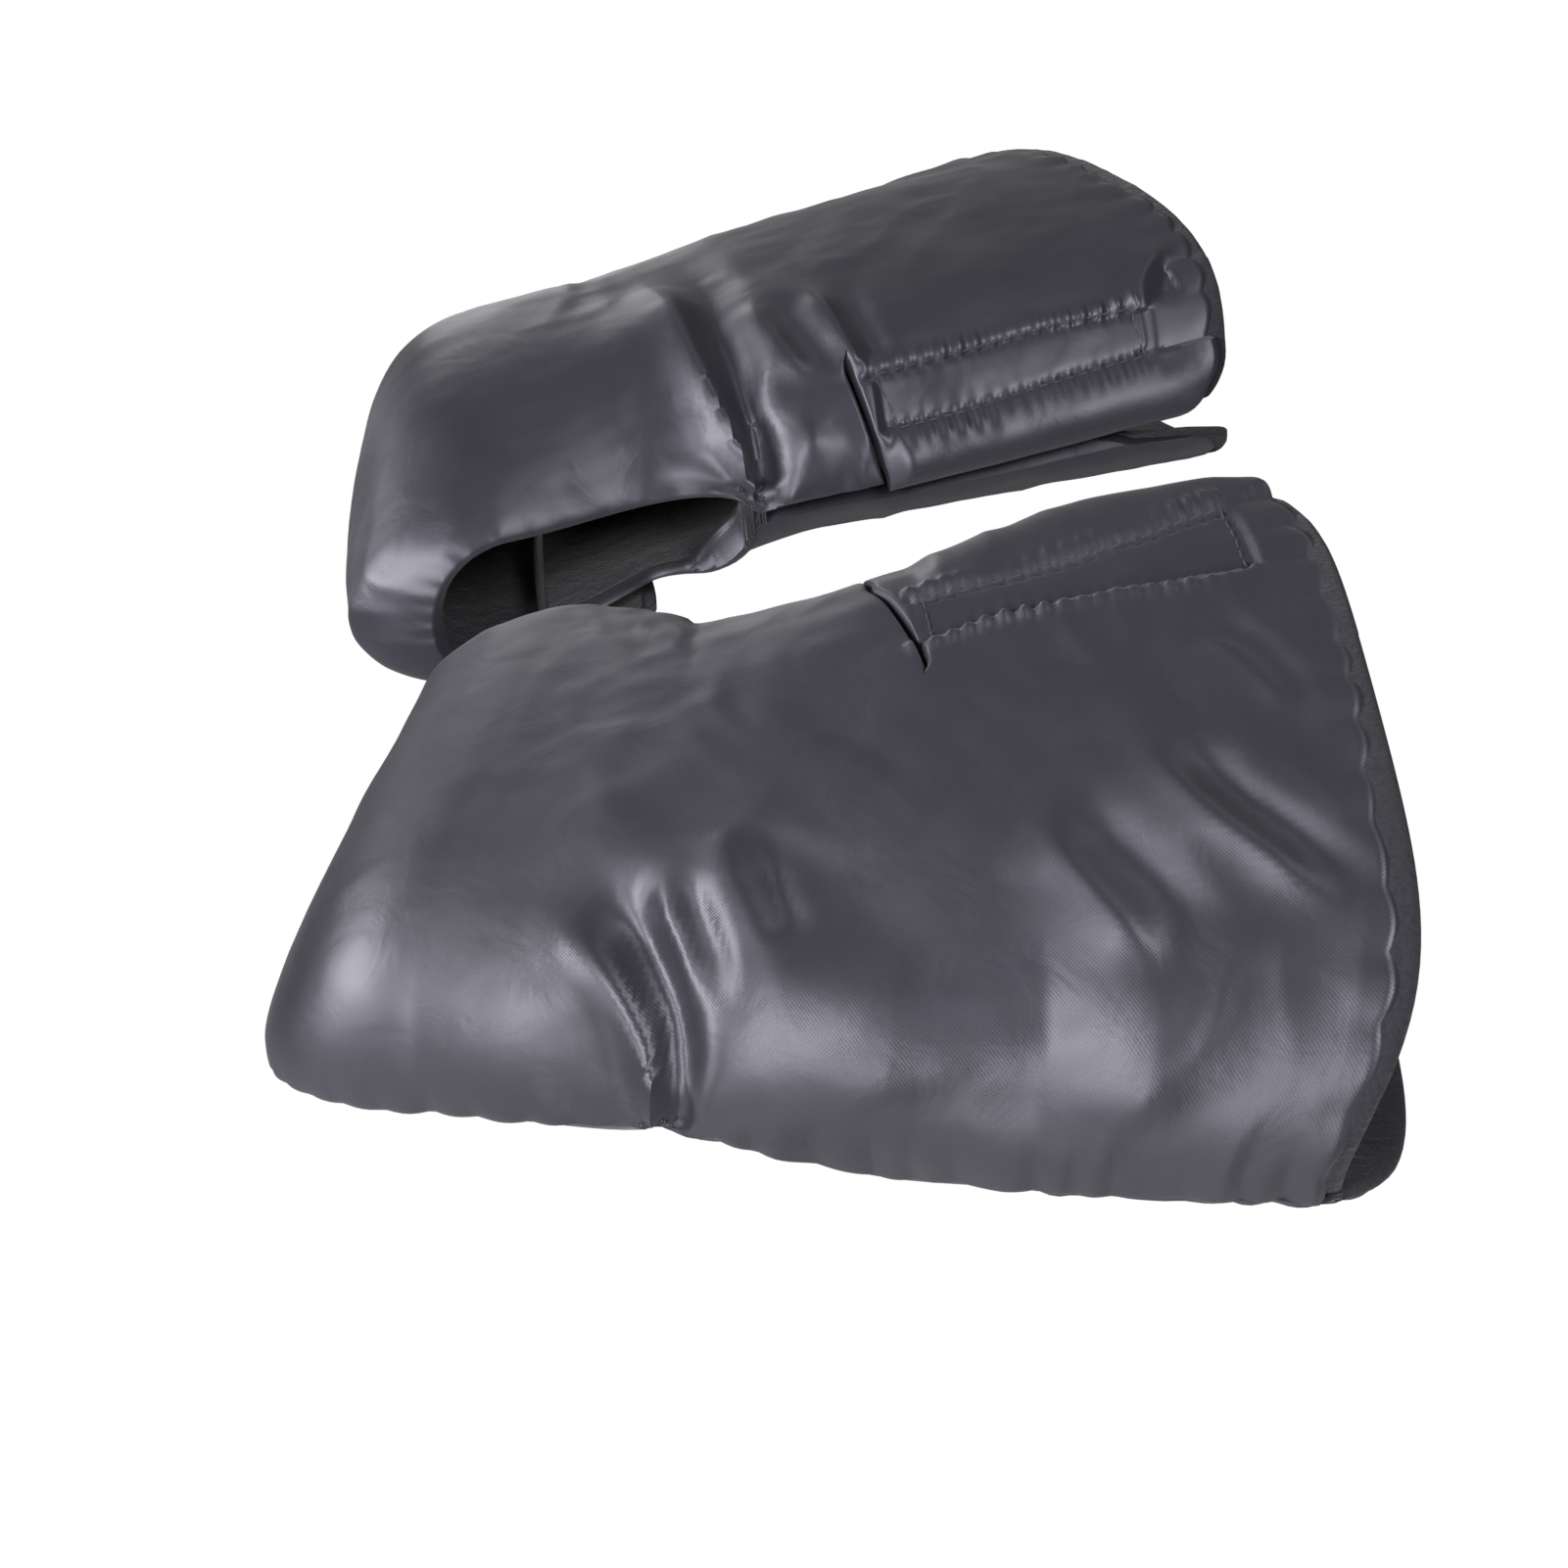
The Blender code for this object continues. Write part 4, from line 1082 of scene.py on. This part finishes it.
def closureTape(name):
    # the tape's grid of flat places between the two stitched lines, a little wider than them
    rows, cols = tapes["closureGrid"]
    u, v = np.linspace(0.03, 0.99, rows), np.linspace(-0.05, 1.05, cols)[None, :, None]
    crown, inner = (
        np.stack([np.interp(u, np.linspace(0, 1, 60), line[:, k]) for k in range(2)], axis=-1)[:, None]
        for line in (flatLine(strips[name][side], 60) for side in ("crown", "inner"))
    )
    flat = crown * (1 - v) + inner * v
    return flat[..., 0] / cuffReach, angleOf(flat[..., 1])


def threadTube(path, radius, sides=6):
    along = np.gradient(path, axis=0)
    along = along / np.linalg.norm(along, axis=1, keepdims=True)
    side = np.cross(along, np.array([0.31, 0.17, 0.93]))
    side = side / np.linalg.norm(side, axis=1, keepdims=True)
    up = np.cross(along, side)
    turns = np.linspace(0, 2 * math.pi, sides, endpoint=False)[None, :, None]
    points = path[:, None] + radius * (side[:, None] * np.cos(turns) + up[:, None] * np.sin(turns))
    rings = np.arange(len(path) * sides).reshape(-1, sides)
    turned = np.roll(rings, -1, axis=1)
    walls = np.stack([rings[:-1], turned[:-1], turned[1:], rings[1:]], axis=-1).reshape(-1, 4)
    return points.reshape(-1, 3), walls.tolist() + [rings[0, ::-1].tolist(), rings[-1].tolist()]


def makeTack(name, lay, where, panels):
    # a bar tack: close threads across the seam where the bar hole ends
    surface, wobble = surfaceOf(*panels), np.random.default_rng(lay["seed"])
    side, middle = (90, lay["tack"][0]) if where == "inner" else (-90, lay["tack"][1])
    points, faces = [], []
    for k in range(sewing["tackThreads"]):
        step = (k - (sewing["tackThreads"] - 1) / 2) * sewing["tackStep"]
        shift, stretch = (wobble.uniform(-most, most) for most in sewing["tackUneven"])
        place = middle * cuffReach + step + shift
        angle = angleOf(arcOf(side) - math.copysign(sewing["tackReach"] + stretch, side))
        ends, raised = [], []
        for zone in ("top", "under"):
            spot = Vector(onMuff(lay, zone, place / cuffReach, angle).tolist())
            at, normal, _, _ = surface.find_nearest(spot)
            ends.append(np.array(at - normal * sewing["tackSunk"]))
            raised.append(np.array(at + normal * sewing["tackRaised"]))
        spots = [ends[0], raised[0], (raised[0] + raised[1]) / 2, raised[1], ends[1]]
        made, sides = threadTube(smoothLine(spots, 11), sewing["tackThick"])
        faces += [[len(points) + i for i in face] for face in sides]
        points += made.tolist()
    mesh = newMesh(f"{name}_{where}_tack_threads", points, faces, materials["thread"])
    tack = addObject(mesh.name, mesh)
    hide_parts(f"{name}_{where}_tack")
    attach(tack, "muffs")


def makeSewing(name, lay, panels, runs):
    low, high = places["barTape"]
    wide = places["barTapeAngle"]
    rows, cols = tapes["barGrid"]
    closure = closureTape(name)
    arcs = np.linspace(arcOf(-wide), arcOf(wide), cols)
    bar = np.meshgrid(np.linspace(low, high, rows), angleOf(arcs), indexing="ij")
    tapePlaces = (("closure", "top", closure, 180 - closure[1]), ("bar", "under", bar, bar[1]))
    for flap, zone, (share, angle), loopAngle in tapePlaces:
        body, run = f"{name}_{flap}_flap", runs[f"{flap}_flap"]
        makeTape(f"{name}_{flap}_hook_tape", lay, zone, share, angle, "hook", body, run)
        makeTape(f"{name}_{flap}_loop_tape", lay, "under", share, loopAngle, "loop", "muffs", None)
    crown, inner = (flatLine(strips[name][line], 60) for line in ("crown", "inner"))
    ends = [np.linspace(crown[i], inner[i], 12) for i in (3, -1)]
    across, deep = np.linspace(-wide, wide, 30), np.linspace(low, high, 12)
    lines = (crown[3:], inner[3:], *ends)
    guides = {"closure": [onMuff(lay, "top", line[:, 0] / cuffReach, angleOf(line[:, 1])) for line in lines],
              "bar": [onMuff(lay, "under", place + 0 * across, across) for place in (low, high)]}
    guides["bar"] += [onMuff(lay, "under", deep, side + 0 * deep) for side in (-wide, wide)]
    for flap, lines in guides.items():
        title = f"{flap}_flap"
        sewStitches(f"{name}_{flap}_stitches", panels[title], lines, f"{name}_{title}", runs[title])
    for where in ("inner", "outer"):
        makeTack(name, lay, where, (panels["top"], panels["under"]))


def makeMuff(name, lay):
    wrap, under = wrapGrid(lay, True), underGrid(lay, True)
    wrap["relief"] = wrapRelief(name, lay, wrap)
    softWrap, softUnder = wrapGrid(lay, False), underGrid(lay, False)
    runs = {flap: hingeRun(lay, flap) for flap in bends}
    panels = {}
    for title in ("top", "closure_flap", "bar_flap", "under"):
        source, soft = (under, softUnder) if title == "under" else (wrap, softWrap)
        run, wall = runs.get(title), "flap" if title in runs else "full"
        body = f"{name}_{title}" if run else "muffs"
        sheet, cells = source["sheets"][wall], source["cells"][title]
        outer, inner = satinFaces(sheet, source["falls"][title], source["relief"])
        piece = closedMesh(f"{name}_{title}_panel", outer, inner, cells, sheet["flat"], materials["satin_nylon"])
        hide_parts(f"{name}_{title}_shell", f"{name}_{title}_wadding")
        followHinge(piece, body, run)
        panels[title] = piece
        print("   ", piece.name, len(piece.data.polygons), "faces")
        sheet, keep = soft["sheets"][wall], soft["keep"][title]
        keep = soft["cells"][title] & keep[:-1, :-1] & keep[1:, 1:]
        outer, inner = fleeceFaces(sheet, soft["cuff"])
        lining = closedMesh(f"{name}_{title}_fleece", outer, inner, keep, sheet["flat"], materials["fleece"])
        declareCloth(f"{name}_{title}_lining")
        followHinge(lining, body, run)
    makeSewing(name, lay, panels, runs)


for muffName, muffLay in lays.items():
    print("making the", muffName, "muff")
    makeMuff(muffName, muffLay)
print("muffs made")
